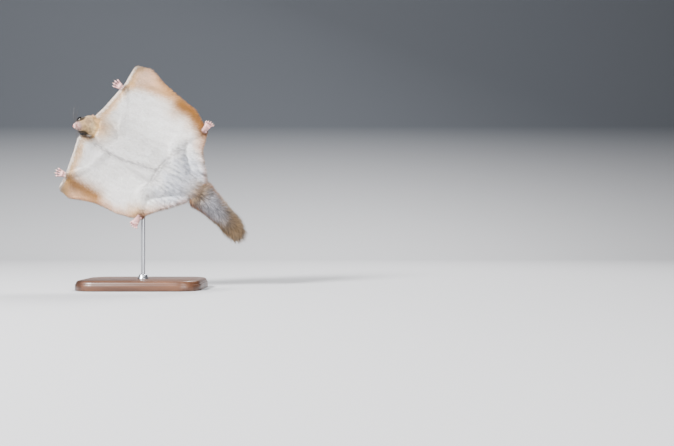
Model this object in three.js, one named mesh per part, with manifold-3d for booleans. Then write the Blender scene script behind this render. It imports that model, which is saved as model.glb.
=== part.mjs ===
// A flying squirrel in a banked glide, life size, on a display stand. Millimetres, +Z up, and the
// origin is the centre of the stand's underside. The belly faces -Y.
// The animal is made in a frame of its own: +X to the nose, +Y to its left, +Z to its back, with
// the origin at the root of the tail, and is then turned and set on the stand as one group.
import * as THREE from "three";
import Module from "manifold-3d";

const wasm = await Module();
wasm.setup();

// Driving sizes.
const TAIL_LENGTH = 103; // along its core, with the tips of the hair a little beyond
const TAIL_RISE = [20, 57]; // degrees above the body's line, at the root and near the tip
const TAIL_SWING = [12, 28]; // degrees, to the animal's right
const GAP = 0.3; // between touching pieces
const COAT_EDGE = 2.2; // the furred membrane at its rim
const COAT_ROOT = 3.6; // and beside the body
const CAMBER = 7; // how far the air lifts each membrane
const FRINGE = 4; // hair past the membranes' rear rim
const HEAD_SCALE = 0.94;
const HEAD_AT = [155.2, -0.8, -7]; // midway between the eyes
const HEAD_YAW = -40; // degrees, to the animal's right
const HEAD_PITCH = 48; // degrees, nose towards the belly side
const NOSE_RISE = 30; // degrees, the body's line above level
const ROOT_ABOVE_FLOOR = 118.4;
const ROOT_BESIDE_ROD = 67.2;
const ROOT_BEFORE_ROD = 18;
const BASE = { length: 150, width: 104, thick: 12, corner: 26, bevel: 1.5 };
const ROD = { radius: 2.5, intoBody: 30, collar: 5, collarFoot: 6.5, collarHeight: 5 };

const point = ([x, y, z = 0]) => new THREE.Vector3(x, y, z);
const radians = THREE.MathUtils.degToRad;
const lerp = THREE.MathUtils.lerp;

// The same seeded numbers on every run, between -1 and 1.
let seed = 7;
function varied(amount) {
  seed = (seed * 16807) % 2147483647;
  return amount * ((2 * seed) / 2147483647 - 1);
}

// Solids and meshes.

function solidFrom(positions, triangles) {
  const mesh = new wasm.Mesh({
    numProp: 3,
    vertProperties: new Float32Array(positions),
    triVerts: new Uint32Array(triangles),
  });
  return new wasm.Manifold(mesh);
}

function solidOf(geometry) {
  const seen = new Map();
  const positions = [];
  const at = geometry.getAttribute("position");
  const order = geometry.index ? geometry.index.array : [...Array(at.count).keys()];
  const number = (i) => {
    const p = [at.getX(i), at.getY(i), at.getZ(i)];
    const key = p.map((c) => Math.round(c * 1e4)).join();
    if (!seen.has(key)) {
      seen.set(key, seen.size);
      positions.push(...p);
    }
    return seen.get(key);
  };
  const triangles = [];
  for (let i = 0; i < order.length; i += 3) {
    const [a, b, c] = [number(order[i]), number(order[i + 1]), number(order[i + 2])];
    if (a !== b && b !== c && c !== a) triangles.push(a, b, c);
  }
  return solidFrom(positions, triangles);
}

function geometryFrom(solid) {
  const mesh = solid.getMesh();
  const geometry = new THREE.BufferGeometry();
  geometry.setAttribute("position", new THREE.BufferAttribute(mesh.vertProperties, 3));
  geometry.setIndex(new THREE.BufferAttribute(mesh.triVerts, 1));
  geometry.computeVertexNormals();
  return geometry;
}

const largest = (solid) =>
  solid.decompose().reduce((best, piece) => (piece.volume() > best.volume() ? piece : best));
const joined = (pieces) => largest(pieces.reduce((sum, piece) => sum.add(piece)));
const without = (solid, cutters) => cutters.reduce((left, cutter) => left.subtract(cutter), solid);
const moved = (solid, matrix) => solid.transform(matrix.elements);

// A closed tube through a few points. Each size list has one value for each point: half the
// width along side, and how far the section reaches above and below its centre line.
function tube({
  points,
  wide,
  high,
  low = high,
  side = [0, 1, 0],
  sides,
  rings,
  cap = 1,
  capRings = 2,
  grow = 0,
}) {
  const line = new THREE.CatmullRomCurve3(points.map(point));
  const sizes = new THREE.CatmullRomCurve3(wide.map((w, i) => point([w, high[i], low[i]])));
  const stations = [];
  const addEnd = (t, sign) => {
    const size = sizes.getPoint(t);
    const reach = cap * Math.min(size.x, size.y) + grow;
    for (let i = 1; i <= capRings; i++) {
      const turn = (i / (capRings + 1)) * (Math.PI / 2);
      stations.push({ t, ahead: sign * reach * Math.sin(turn), share: Math.cos(turn) });
    }
    return { t, ahead: sign * reach };
  };
  const firstTip = addEnd(0, -1);
  stations.reverse();
  for (let i = 0; i <= rings; i++) stations.push({ t: i / rings, ahead: 0, share: 1 });
  const lastTip = addEnd(1, 1);
  const centre = ({ t, ahead }) => line.getPoint(t).addScaledVector(line.getTangent(t), ahead);
  const positions = [];
  for (const station of stations) {
    const tangent = line.getTangent(station.t);
    const across = point(side);
    across.addScaledVector(tangent, -across.dot(tangent)).normalize();
    const up = tangent.clone().cross(across);
    const size = sizes.getPoint(station.t);
    const middle = centre(station);
    for (let j = 0; j < sides; j++) {
      const angle = (2 * Math.PI * j) / sides;
      const rise = Math.sin(angle) >= 0 ? size.y : size.z;
      const p = middle
        .clone()
        .addScaledVector(across, (size.x + grow) * Math.cos(angle) * station.share)
        .addScaledVector(up, (rise + grow) * Math.sin(angle) * station.share);
      positions.push(...p.toArray());
    }
  }
  positions.push(...centre(firstTip).toArray(), ...centre(lastTip).toArray());
  const [first, last] = [stations.length * sides, stations.length * sides + 1];
  const triangles = [];
  for (let j = 0; j < sides; j++) {
    const k = (j + 1) % sides;
    const end = (stations.length - 1) * sides;
    triangles.push(first, k, j, last, end + j, end + k);
    for (let i = 0; i < stations.length - 1; i++) {
      const [a, b] = [i * sides, (i + 1) * sides];
      triangles.push(a + j, a + k, b + j, a + k, b + k, b + j);
    }
  }
  return solidFrom(positions, triangles);
}

// A closed sheet about a grid of middle points, split into triangles alike on both faces.
// offset(i, j) is the vector from the middle to the upper face.
function sheet(rows, columns, middle, offset) {
  const positions = [];
  for (const sign of [1, -1]) {
    for (let i = 0; i <= rows; i++) {
      for (let j = 0; j <= columns; j++) {
        positions.push(...middle(i, j).clone().addScaledVector(offset(i, j), sign).toArray());
      }
    }
  }
  const under = (rows + 1) * (columns + 1);
  const at = (i, j) => i * (columns + 1) + j;
  const triangles = [];
  const quad = (a, b, c, d) => triangles.push(a, b, c, a, c, d);
  for (let i = 0; i < rows; i++) {
    for (let j = 0; j < columns; j++) {
      const [a, b, c, d] = [at(i, j), at(i + 1, j), at(i + 1, j + 1), at(i, j + 1)];
      quad(a, b, c, d);
      triangles.push(under + a, under + c, under + b, under + a, under + d, under + c);
    }
  }
  for (let i = 0; i < rows; i++) {
    quad(at(i, 0), under + at(i, 0), under + at(i + 1, 0), at(i + 1, 0));
    quad(at(i + 1, columns), under + at(i + 1, columns), under + at(i, columns), at(i, columns));
  }
  for (let j = 0; j < columns; j++) {
    quad(at(0, j + 1), under + at(0, j + 1), under + at(0, j), at(0, j));
    quad(at(rows, j), under + at(rows, j), under + at(rows, j + 1), at(rows, j + 1));
  }
  const made = solidFrom(positions, triangles);
  return made.volume() > 0 ? made : solidFrom(positions, triangles.reverse());
}

// The limbs' joints and the membranes' rims, which differ a little from side to side in the turn.
const LEFT = {
  sign: 1,
  shoulder: [120, 13, 8],
  elbow: [125, 41, 7],
  wrist: [137, 63, 0],
  fingers: [149.6, 64, -5],
  hip: [31, 11, 7],
  knee: [48, 38, 5],
  ankle: [28, 65, 0],
  toes: [24, 82, -12],
  front: [[150, 0, 0], [150.3, 16, 0], [145.8, 33, 1], [140.5, 59, 0], [138.6, 70, 0],
    [138.8, 90.7, 2], [135.5, 96, 4]],
  rear: [[3, 0, 6], [0, 15.8, 6], [10.5, 29.2, 4], [19.3, 42.6, 2], [24, 60.8, 0],
    [28, 68, 0], [34.9, 74, 0], [47.7, 82.5, 3], [62.7, 85, 5], [97.2, 91.3, 5],
    [115, 97.4, 5], [124, 98.6, 5]],
  tipCut: { inner: [143, 68.5], outer: [88, 97] },
};
const RIGHT = {
  sign: -1,
  shoulder: [120, -13, 8],
  elbow: [129, -40, 7],
  wrist: [144.5, -61, 0],
  fingers: [156, -63.4, -5],
  hip: [32, -11, 7],
  knee: [54, -34, 5],
  ankle: [43, -58, 0],
  toes: [43, -78, -12],
  front: [[151, 0, 0], [155, -14.5, 0], [152.2, -28.9, 1], [147.5, -53, 0], [145.8, -66, 1],
    [147.5, -78, 9], [144, -83.5, 14]],
  rear: [[5, 0, 6], [8.4, -16.3, 6], [14, -23.2, 4], [25.3, -36.2, 2], [39, -53, 0],
    [44, -61, 0], [52, -65, 1], [61, -67.6, 3], [69.9, -69.8, 5], [99.9, -72.5, 6],
    [120.6, -79.3, 9], [133, -84.5, 13]],
  tipCut: { inner: [150, -66.5], outer: [92, -80] },
};

// Torso, neck and tail.

const torsoTube = (grow = 0) =>
  tube({
    points: [[4, 0, 6], [30, 0, 8], [64, 0, 10], [98, 0, 10], [122, 0, 9]],
    wide: [9, 17, 20, 17.5, 13],
    high: [7, 13.5, 16, 15, 11.5],
    low: [7, 11, 13.5, 13, 11],
    sides: 16,
    rings: 12,
    grow,
  });

const neckTube = (grow = 0) =>
  tube({
    points: [[116, 0, 9], [131, 2.5, 8.5], [143, 7, 7]],
    wide: [12, 12, 11],
    high: [11, 11, 10],
    low: [10.5, 10.5, 10],
    sides: 16,
    rings: 4,
    grow,
  });

// The tail streams behind, lifted by the air from below and swung to the right. Its core is thin,
// and the coat is combed out from it to both sides.
function tailPoints() {
  const steps = 4;
  const points = [point([6, 0, 6])];
  for (let i = 0; i < steps; i++) {
    const rise = radians(lerp(...TAIL_RISE, i / (steps - 1)));
    const swing = radians(lerp(...TAIL_SWING, i / (steps - 1)));
    const step = point([
      -Math.cos(rise) * Math.cos(swing),
      -Math.cos(rise) * Math.sin(swing),
      Math.sin(rise),
    ]);
    points.push(points[i].clone().addScaledVector(step, TAIL_LENGTH / steps));
  }
  return points.map((p) => p.toArray());
}

const TAIL_COAT = { wide: [14, 17, 16.5, 14, 7], high: [7, 8, 8, 7, 4] };
const tailCore = (grow = 0) =>
  tube({
    points: tailPoints(),
    wide: [13, 10, 8, 6.5, 3],
    high: [6.5, 4.5, 3.8, 3.2, 2],
    sides: 12,
    rings: 9,
    grow,
  });
const tailTube = (grow = 0) =>
  tube({ points: tailPoints(), ...TAIL_COAT, sides: 14, rings: 9, grow });

// One flat lock of hair that tapers and bends through its points.
const lock = (points, width, thick, side) =>
  tube({
    points: points.map((p) => p.toArray()),
    wide: [0.75 * width, width, 0.8 * width, 0.14 * width],
    high: [thick, thick, 0.7 * thick, 0.3 * thick],
    side: side.toArray(),
    sides: 4,
    rings: 3,
    capRings: 0,
  });

function tailLocks() {
  const line = new THREE.CatmullRomCurve3(tailPoints().map(point));
  const coat = new THREE.CatmullRomCurve3(
    TAIL_COAT.wide.map((w, i) => point([w, TAIL_COAT.high[i], 0])),
  );
  const rows = 10;
  const spokes = 5;
  const reach = 0.27; // one lock's length, as a share of the tail
  const locks = [];
  for (let row = 0; row < rows; row++) {
    for (let spoke = 0; spoke < spokes; spoke++) {
      const turn = ((spoke + (row % 2) / 2) / spokes) * 2 * Math.PI + varied(0.1);
      const start = lerp(0.02, 0.77, row / (rows - 1)) + varied(0.012);
      const length = reach * (1 + varied(0.08));
      const at = (share, depth) => {
        const t = start + share * length;
        const end = Math.min(t, 1);
        const tangent = line.getTangent(end);
        const across = point([0, 1, 0]);
        across.addScaledVector(tangent, -across.dot(tangent)).normalize();
        const up = across.clone().cross(tangent);
        const size = coat.getPoint(end);
        return line
          .getPoint(end)
          .addScaledVector(tangent, (t - end) * TAIL_LENGTH)
          .addScaledVector(across, depth * size.x * Math.cos(turn))
          .addScaledVector(up, depth * size.y * Math.sin(turn));
      };
      const tip = 0.95 + varied(0.05);
      const points = [at(0, 0.22), at(0.3, 0.6), at(0.65, 0.86), at(1, tip)];
      const side = point([0, 1, 0]).addScaledVector(point([1, 0, 0]), Math.cos(turn) * 0.8);
      locks.push(lock(points, 4.4, 1.1, side));
    }
  }
  return locks;
}

// Limbs.

const armTube = (s, grow = 0) =>
  tube({
    points: [s.shoulder, s.elbow, s.wrist],
    wide: [7.5, 5.2, 3.2],
    high: [6.5, 5, 3],
    side: [1, 0, 0],
    sides: 12,
    rings: 7,
    grow,
  });

const legTube = (s, grow = 0) =>
  tube({
    points: [s.hip, s.knee, s.ankle],
    wide: [10, 7.5, 3.4],
    high: [8.5, 6.5, 3.2],
    side: [1, 0, 0],
    sides: 12,
    rings: 8,
    grow,
  });

// A palm or sole that runs from joint to tip, with spread digits that end in claws.
function paw({ from, to, palm, width, thick, digits, spread, digitLength, curl, belly }) {
  const start = point(from);
  const along = point(to).sub(start).normalize();
  const across = point(belly).cross(along).normalize();
  const down = along.clone().cross(across);
  const place = (ahead, aside, below) =>
    start
      .clone()
      .addScaledVector(along, ahead)
      .addScaledVector(across, aside)
      .addScaledVector(down, below)
      .toArray();
  const side = across.toArray();
  const pieces = [
    tube({
      points: [place(-1, 0, 0), place(palm * 0.5, 0, 0), place(palm, 0, 0)],
      wide: [width * 0.34, width * 0.46, width * 0.48],
      high: [thick, thick, thick * 0.8],
      side,
      sides: 8,
      rings: 3,
    }),
  ];
  for (let i = 0; i < digits; i++) {
    const share = (2 * i) / (digits - 1) - 1;
    const angle = radians(spread) * share;
    const length = digitLength * (1 - 0.22 * share * share);
    const reach = (far, below) =>
      place(
        palm * 0.86 + far * Math.cos(angle),
        share * width * 0.38 + far * Math.sin(angle),
        below,
      );
    const digit = tube({
      points: [reach(-1, 0), reach(length * 0.5, -curl * 0.3), reach(length, curl * 0.4)],
      wide: [1.2, 1.0, 0.95],
      high: [1.1, 0.95, 0.9],
      side,
      sides: 5,
      rings: 3,
      capRings: 1,
    });
    const claw = tube({
      points: [
        reach(length, curl * 0.25),
        reach(length + 1.6, curl * 0.5),
        reach(length + 2.4, curl * 0.5 + 1.3),
      ],
      wide: [0.5, 0.4, 0.12],
      high: [0.6, 0.5, 0.15],
      side,
      sides: 4,
      rings: 2,
      capRings: 0,
    });
    pieces.push(digit, claw);
  }
  return joined(pieces);
}

const hand = (s) =>
  paw({
    from: s.wrist,
    to: s.fingers,
    palm: 6,
    width: 7,
    thick: 2,
    digits: 4,
    spread: 18,
    digitLength: 7.5,
    curl: 2,
    belly: [0, 0, -1],
  });

const foot = (s) =>
  paw({
    from: s.ankle,
    to: s.toes,
    palm: 14,
    width: 8,
    thick: 2.3,
    digits: 5,
    spread: 20,
    digitLength: 7,
    curl: 3,
    belly: [-0.4, 0, -1],
  });

// Membranes: one furred sheet on each side, parted by the limbs.

function wingSheet(s) {
  const front = new THREE.CatmullRomCurve3(s.front.map(point), false, "catmullrom", 0.25);
  const rear = new THREE.CatmullRomCurve3(s.rear.map(point), false, "catmullrom", 0.25);
  const rows = 16;
  const columns = 10;
  const middle = (i, j) => {
    const k = i / rows;
    const f = j / columns;
    const p = front.getPointAt(k).lerp(rear.getPointAt(k), f);
    p.z += CAMBER * Math.sin(Math.PI * f) * Math.min(1, 2.2 * (1 - k));
    return p;
  };
  const offset = (i, j) => {
    const f = j / columns;
    const rim = Math.min(1, 4 * Math.min(f, 1 - f, 1 - i / rows));
    return point([0, 0, lerp(COAT_EDGE, COAT_ROOT, rim * (1 - (0.6 * i) / rows)) / 2]);
  };
  return sheet(rows, columns, middle, offset);
}

// The longer hair that fringes the rim between the ankle and the tail.
function fringe(s) {
  const rim = new THREE.CatmullRomCurve3(s.rear.slice(0, 5).map(point), false, "catmullrom", 0.25);
  const count = 9;
  const locks = [];
  for (let i = 0; i < count; i++) {
    const t = lerp(0.12, 0.97, i / (count - 1));
    const outward = rim.getTangentAt(t).cross(point([0, 0, s.sign]));
    const aside = rim.getTangentAt(t);
    const at = (ahead, swept, above) =>
      rim
        .getPointAt(t)
        .addScaledVector(outward, ahead)
        .addScaledVector(aside, swept)
        .add(point([0, 0, above]));
    const layer = 0.35 * (i % 2 ? 1 : -1);
    const tip = FRINGE * (1 + varied(0.15));
    const points = [at(-4, -1, layer), at(-1, -0.6, layer), at(0.5 * tip, 0.2, 0), at(tip, 1.2, 0)];
    locks.push(lock(points, 3.4, 0.8, aside));
  }
  return locks;
}

// A thin upright cut between two places on the membrane.
function slit([x0, y0], [x1, y1]) {
  const length = Math.hypot(x1 - x0, y1 - y0);
  const box = new THREE.BoxGeometry(length, GAP, 80);
  box.rotateZ(Math.atan2(y1 - y0, x1 - x0));
  box.translate((x0 + x1) / 2, (y0 + y1) / 2, 0);
  return solidOf(box);
}

// The head, in its own frame: +X to the nose, +Y left, +Z to the crown, origin between the eyes.

const EYE = { at: [0.4, 7.5, 0.2], radius: 4.7, facing: [0.46, 0.88, 0.06] };
const mirrored = ([x, y, z], sign) => [x, y * sign, z];

function ball(centre, radius, detail = 2) {
  const geometry = new THREE.IcosahedronGeometry(radius, detail);
  geometry.translate(...centre);
  return solidOf(geometry);
}

function ellipsoid(centre, [a, b, c], detail = 2) {
  const geometry = new THREE.IcosahedronGeometry(1, detail);
  geometry.scale(a, b, c);
  geometry.translate(...centre);
  return solidOf(geometry);
}

const skull = (grow = 0) =>
  tube({
    points: [[-22, 0, -0.5], [-14, 0, -0.3], [-7, 0, -0.2], [0, 0, -0.8], [5.5, 0, -2.4],
      [10, 0, -3.6], [13.2, 0, -4.2]],
    wide: [10.4, 12.6, 12, 9.2, 6.7, 5.2, 3.6],
    high: [8, 10.5, 10.4, 8.7, 6.4, 4, 2.7],
    low: [9, 10.9, 11.2, 9.9, 7.4, 5.1, 3.3],
    sides: 18,
    rings: 12,
    cap: 0.8,
    grow,
  });

// The skull with its lids, lips and nose pad, before anything is cut into it.
function fullHead(grow = 0) {
  const lids = [1, -1].map((sign) => {
    const lid = new THREE.TorusGeometry(EYE.radius * 0.94, 0.75 + grow, 5, 14);
    const out = point(mirrored(EYE.facing, sign)).normalize();
    lid.applyQuaternion(new THREE.Quaternion().setFromUnitVectors(point([0, 0, 1]), out));
    lid.translate(...point(mirrored(EYE.at, sign)).addScaledVector(out, 1.3).toArray());
    return solidOf(lid);
  });
  const lips = ellipsoid([8.8, 0, -6.2], [4.9 + grow, 4.8 + grow, 2.5 + grow]);
  const nosePad = ellipsoid([14.8, 0, -3.8], [1.7 + grow, 2.3 + grow, 1.6 + grow], 1);
  return joined([skull(grow), ...lids, lips, nosePad]);
}

const eyeBall = (sign, grow = 0) => ball(mirrored(EYE.at, sign), EYE.radius + grow);

function headSolid() {
  const nostrils = [1, -1].map((sign) => ellipsoid([16, sign * 1.2, -4.1], [1, 0.5, 0.55], 1));
  const mouth = ellipsoid([9.4, 0, -7.5], [6.4, 4.4, 0.4]).subtract(
    ellipsoid([7.6, 0, -7.5], [5.4, 3.3, 2]),
  );
  return without(fullHead(), [eyeBall(1, GAP), eyeBall(-1, GAP), ...nostrils, mouth]);
}

// An open cup, rolled at its root and spread towards its rounded tip.
function earSolid(sign) {
  const height = 16.5;
  const root = point(mirrored([-10.5, 8.4, 5.5], sign));
  const up = point(mirrored([-0.88, 0.38, 0.28], sign)).normalize();
  const facing = point(mirrored([0.35, 0.88, 0.1], sign));
  facing.addScaledVector(up, -facing.dot(up)).normalize();
  const across = up.clone().cross(facing);
  const rows = 7;
  const columns = 6;
  const wide = (s) => 6.4 * Math.sqrt(Math.max(0.02, 1 - (1.72 * s - 0.74) ** 2)) + 0.4;
  const place = (s, t) => {
    const roll = lerp(1.5, 0.75, s) * t;
    const bend = wide(s) / lerp(1.5, 0.75, s);
    return root
      .clone()
      .addScaledVector(up, height * s)
      .addScaledVector(across, bend * Math.sin(roll))
      .addScaledVector(facing, -bend * Math.cos(roll) + 3);
  };
  const middle = (i, j) => place(i / rows, (2 * j) / columns - 1);
  const offset = (i, j) => {
    const [s, t] = [i / rows, (2 * j) / columns - 1];
    const small = 0.02;
    const along = place(s + small, t).sub(place(s - small, t));
    const aside = place(s, t + small).sub(place(s, t - small));
    return along.cross(aside).normalize().multiplyScalar(0.45);
  };
  return sheet(rows, columns, middle, offset);
}

const headMatrix = new THREE.Matrix4().compose(
  point(HEAD_AT),
  new THREE.Quaternion().setFromEuler(
    new THREE.Euler(0, radians(HEAD_PITCH), radians(HEAD_YAW), "ZYX"),
  ),
  new THREE.Vector3(HEAD_SCALE, HEAD_SCALE, HEAD_SCALE),
);

// The animal's nodes, each cut clear of what it grows from.

const solids = new Map();
const grownHead = moved(
  joined([fullHead(GAP), eyeBall(1, GAP), eyeBall(-1, GAP)]),
  headMatrix,
);
const grownTorso = torsoTube(GAP);
const grownNeck = neckTube(GAP);

solids.set("torso", torsoTube());
solids.set("neck", largest(neckTube().subtract(grownTorso)));
solids.set("head", largest(moved(headSolid(), headMatrix).subtract(grownNeck).subtract(grownTorso)));
solids.set("tail", largest(joined([tailCore(), ...tailLocks()]).subtract(grownTorso)));

for (const s of [LEFT, RIGHT]) {
  const name = s.sign > 0 ? "left" : "right";
  const arm = largest(without(armTube(s), [grownTorso, grownNeck]));
  const leg = largest(legTube(s).subtract(grownTorso));
  solids.set(`foreleg_${name}`, arm);
  solids.set(`hindleg_${name}`, leg);
  solids.set(`forefoot_${name}`, largest(hand(s).subtract(armTube(s, GAP))));
  solids.set(`hindfoot_${name}`, largest(foot(s).subtract(legTube(s, GAP))));
  solids.set(`eye_${name}`, moved(eyeBall(s.sign), headMatrix));
  const ear = moved(earSolid(s.sign), headMatrix);
  solids.set(`ear_${name}`, largest(without(ear, [grownHead, grownNeck, grownTorso])));

  const cutters = [grownTorso, grownNeck, grownHead, tailTube(GAP), armTube(s, GAP), legTube(s, GAP)];
  for (const paws of [hand(s), foot(s)]) cutters.push(paws);
  cutters.push(slit(s.tipCut.inner, s.tipCut.outer));
  const parts = without(wingSheet(s), cutters)
    .decompose()
    .sort((a, b) => b.volume() - a.volume());
  const middleOf = (piece) => {
    const { min, max } = piece.boundingBox();
    return [(min[0] + max[0]) / 2, (min[1] + max[1]) / 2];
  };
  const nearest = (x, y) =>
    parts
      .slice(0, 4)
      .reduce((best, piece) =>
        Math.hypot(middleOf(piece)[0] - x, middleOf(piece)[1] - y) <
        Math.hypot(middleOf(best)[0] - x, middleOf(best)[1] - y)
          ? piece
          : best,
      );
  solids.set(`membrane_${name}`, parts[0]);
  solids.set(`front_membrane_${name}`, nearest(147, 38 * s.sign));
  const rear = nearest(17, 35 * s.sign);
  const locks = fringe(s).map((piece) => without(piece, cutters));
  solids.set(`rear_membrane_${name}`, joined([rear, ...locks]));
  solids.set(`wing_tip_${name}`, nearest(120, 88 * s.sign));
}

// The animal's place on the stand.

const noseward = point([-Math.cos(radians(NOSE_RISE)), 0, Math.sin(radians(NOSE_RISE))]);
const leftward = point([Math.sin(radians(NOSE_RISE)), 0, Math.cos(radians(NOSE_RISE))]);
const placing = new THREE.Matrix4().makeBasis(
  noseward,
  leftward,
  noseward.clone().cross(leftward),
);
placing.setPosition(ROOT_BESIDE_ROD, -ROOT_BEFORE_ROD, ROOT_ABOVE_FLOOR);

// The stand.

function standBase() {
  const { length, width, thick, corner, bevel } = BASE;
  const [x, y] = [length / 2 - corner, width / 2 - corner];
  const outline = new THREE.Shape();
  outline.absarc(x, y, corner - bevel, 0, Math.PI / 2);
  outline.absarc(-x, y, corner - bevel, Math.PI / 2, Math.PI);
  outline.absarc(-x, -y, corner - bevel, Math.PI, 1.5 * Math.PI);
  outline.absarc(x, -y, corner - bevel, 1.5 * Math.PI, 2 * Math.PI);
  const slab = new THREE.ExtrudeGeometry(outline, {
    depth: thick - 2 * bevel,
    bevelThickness: bevel,
    bevelSize: bevel,
    bevelSegments: 1,
    curveSegments: 6,
  });
  slab.translate(0, 0, bevel);
  return solidOf(slab);
}

function standRod() {
  const { radius, intoBody, collar: neck, collarFoot, collarHeight } = ROD;
  const top = ROOT_ABOVE_FLOOR + intoBody;
  const bottom = BASE.thick + GAP;
  const rod = new THREE.CylinderGeometry(radius, radius, top - bottom, 20);
  rod.rotateX(Math.PI / 2);
  rod.translate(0, 0, (top + bottom) / 2);
  const collar = new THREE.CylinderGeometry(neck, collarFoot, collarHeight, 24);
  collar.rotateX(Math.PI / 2);
  collar.translate(0, 0, bottom + collarHeight / 2);
  const whole = solidOf(rod).add(solidOf(collar));
  const body = moved(grownTorso, placing);
  const pieces = whole.subtract(body).decompose();
  return pieces.reduce((low, piece) =>
    piece.boundingBox().min[2] < low.boundingBox().min[2] ? piece : low,
  );
}

// Materials and the scene graph.

const paint = (colour, roughness = 0.85, metalness = 0) =>
  new THREE.MeshStandardMaterial({ color: colour, roughness, metalness });
const MATERIALS = {
  belly: paint(0xe9e6e4),
  back: paint(0x8a7358),
  tail: paint(0x8d7a60),
  skin: paint(0xe3b2b0, 0.5),
  eye: paint(0x120d0b, 0.08),
  wood: paint(0x3c2a1e, 0.4),
  steel: paint(0xb9bcc0, 0.25, 1),
};
const materialOf = (name) => {
  if (name.startsWith("eye")) return MATERIALS.eye;
  if (name.startsWith("tail")) return MATERIALS.tail;
  if (name.startsWith("forefoot") || name.startsWith("hindfoot")) return MATERIALS.skin;
  if (name.includes("membrane") || name.startsWith("wing")) return MATERIALS.belly;
  return MATERIALS.back;
};

function meshOf(name, solid, material) {
  const mesh = new THREE.Mesh(geometryFrom(solid), material);
  mesh.name = name;
  return mesh;
}

const squirrel = new THREE.Group();
squirrel.applyMatrix4(placing);
for (const [name, solid] of solids) squirrel.add(meshOf(name, solid, materialOf(name)));

const model = new THREE.Group();
model.add(squirrel);
model.add(meshOf("stand_base", standBase(), MATERIALS.wood));
model.add(meshOf("stand_rod", standRod(), MATERIALS.steel));

export default model;
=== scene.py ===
"""A flying squirrel in a banked glide on its display stand: one skin, its coat of tufts, eyes,
claws and whiskers, the stand's finish, and the photograph's camera in soft studio light.

The animal is worked out in millimetres in a frame of its own: +X to the nose, +Y to its left and
+Z to its back, with the origin at the root of the tail. placed() sets it on the stand, in metres.
"""

import math

import bpy
import numpy as np
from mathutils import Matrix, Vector


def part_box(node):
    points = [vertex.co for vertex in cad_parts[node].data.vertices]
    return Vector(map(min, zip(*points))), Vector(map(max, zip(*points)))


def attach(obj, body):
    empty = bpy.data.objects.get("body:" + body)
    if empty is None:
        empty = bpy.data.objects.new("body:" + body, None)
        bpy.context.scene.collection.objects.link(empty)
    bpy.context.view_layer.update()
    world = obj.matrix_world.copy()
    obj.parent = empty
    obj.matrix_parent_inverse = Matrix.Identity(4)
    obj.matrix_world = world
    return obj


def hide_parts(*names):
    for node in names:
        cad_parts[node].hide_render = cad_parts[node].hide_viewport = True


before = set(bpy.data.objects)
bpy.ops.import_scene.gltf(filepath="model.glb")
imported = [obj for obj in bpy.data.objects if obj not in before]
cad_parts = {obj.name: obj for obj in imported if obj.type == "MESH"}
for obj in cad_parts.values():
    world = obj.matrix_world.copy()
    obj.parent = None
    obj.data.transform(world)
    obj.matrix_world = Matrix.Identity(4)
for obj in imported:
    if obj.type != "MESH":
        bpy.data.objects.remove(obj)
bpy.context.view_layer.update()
rng = np.random.default_rng(11)

# The animal's place on the stand, as in the solids.
MM = 0.001
NOSE_RISE = math.radians(30)
ROOT = np.array([67.2, -18.0, 118.4])
NOSEWARD = np.array([-math.cos(NOSE_RISE), 0.0, math.sin(NOSE_RISE)])
LEFTWARD = np.array([math.sin(NOSE_RISE), 0.0, math.cos(NOSE_RISE)])
BACKWARD = np.cross(NOSEWARD, LEFTWARD)
AXES = np.stack([NOSEWARD, LEFTWARD, BACKWARD])

# Depths of coat between the skin and the solids' surface.
COAT_BODY = 1.6
COAT_LIMB = 1.1
SHEET_HALF = 0.55  # half the bare membrane's thickness
CAMBER = 7.0

# The head, as in the solids.
HEAD_SCALE = 0.94
HEAD_AT = np.array([155.2, -0.8, -7.0])
HEAD_YAW = math.radians(-40)
HEAD_PITCH = math.radians(48)
EYE_AT = np.array([0.4, 7.5, 0.2])
EYE_RADIUS = 4.7
EYE_FACING = np.array([0.46, 0.88, 0.06])

TAIL_LENGTH = 103.0
TAIL_RISE = (20, 57)
TAIL_SWING = (12, 28)


def camera():
    """The photograph's view: level, in front of the belly, with a 50 mm lens on 36 mm."""
    data = bpy.data.cameras.new("camera")
    data.lens = 50
    data.sensor_width = 36
    made = bpy.data.objects.new("camera", data)
    made.location = Vector((236.4, -1141.2, 80.0)) * MM
    made.rotation_euler = (math.radians(90), 0, 0)
    bpy.context.collection.objects.link(made)
    bpy.context.scene.camera = made


camera()


# Curves and small helpers.


def placed(points):
    return (np.asarray(points) @ AXES + ROOT) * MM


def unit(v):
    v = np.asarray(v, float)
    return v / np.maximum(1e-9, np.linalg.norm(v, axis=-1, keepdims=True))


def step(low, high, x):
    """0 below low, 1 above high, smooth between."""
    s = np.clip((np.asarray(x, float) - low) / (high - low), 0, 1)
    return s * s * (3 - 2 * s)


def mix(a, b, share):
    """From a to b by share, for numbers or one number to each point."""
    return a + (b - a) * share


def blended(a, b, share):
    """From colour or place a to b, with one share to each point."""
    return mix(np.asarray(a, float), np.asarray(b, float), np.asarray(share)[..., None])


def curve(points, t, pull=0.5):
    """A smooth curve through points, with t from 0 to 1 over the points."""
    points = np.asarray(points, float)
    t = np.clip(np.asarray(t, float), 0, 1) * (len(points) - 1)
    i = np.minimum(t.astype(int), len(points) - 2)
    u = (t - i)[..., None]
    ends = [2 * points[0] - points[1]], [2 * points[-1] - points[-2]]
    p = np.concatenate([ends[0], points, ends[1]])
    a, b, c, d = p[i], p[i + 1], p[i + 2], p[i + 3]
    from_b, from_c = pull * (c - a), pull * (d - b)
    return (
        b * (2 * u**3 - 3 * u**2 + 1)
        + from_b * (u**3 - 2 * u**2 + u)
        + c * (3 * u**2 - 2 * u**3)
        + from_c * (u**3 - u**2)
    )


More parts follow.
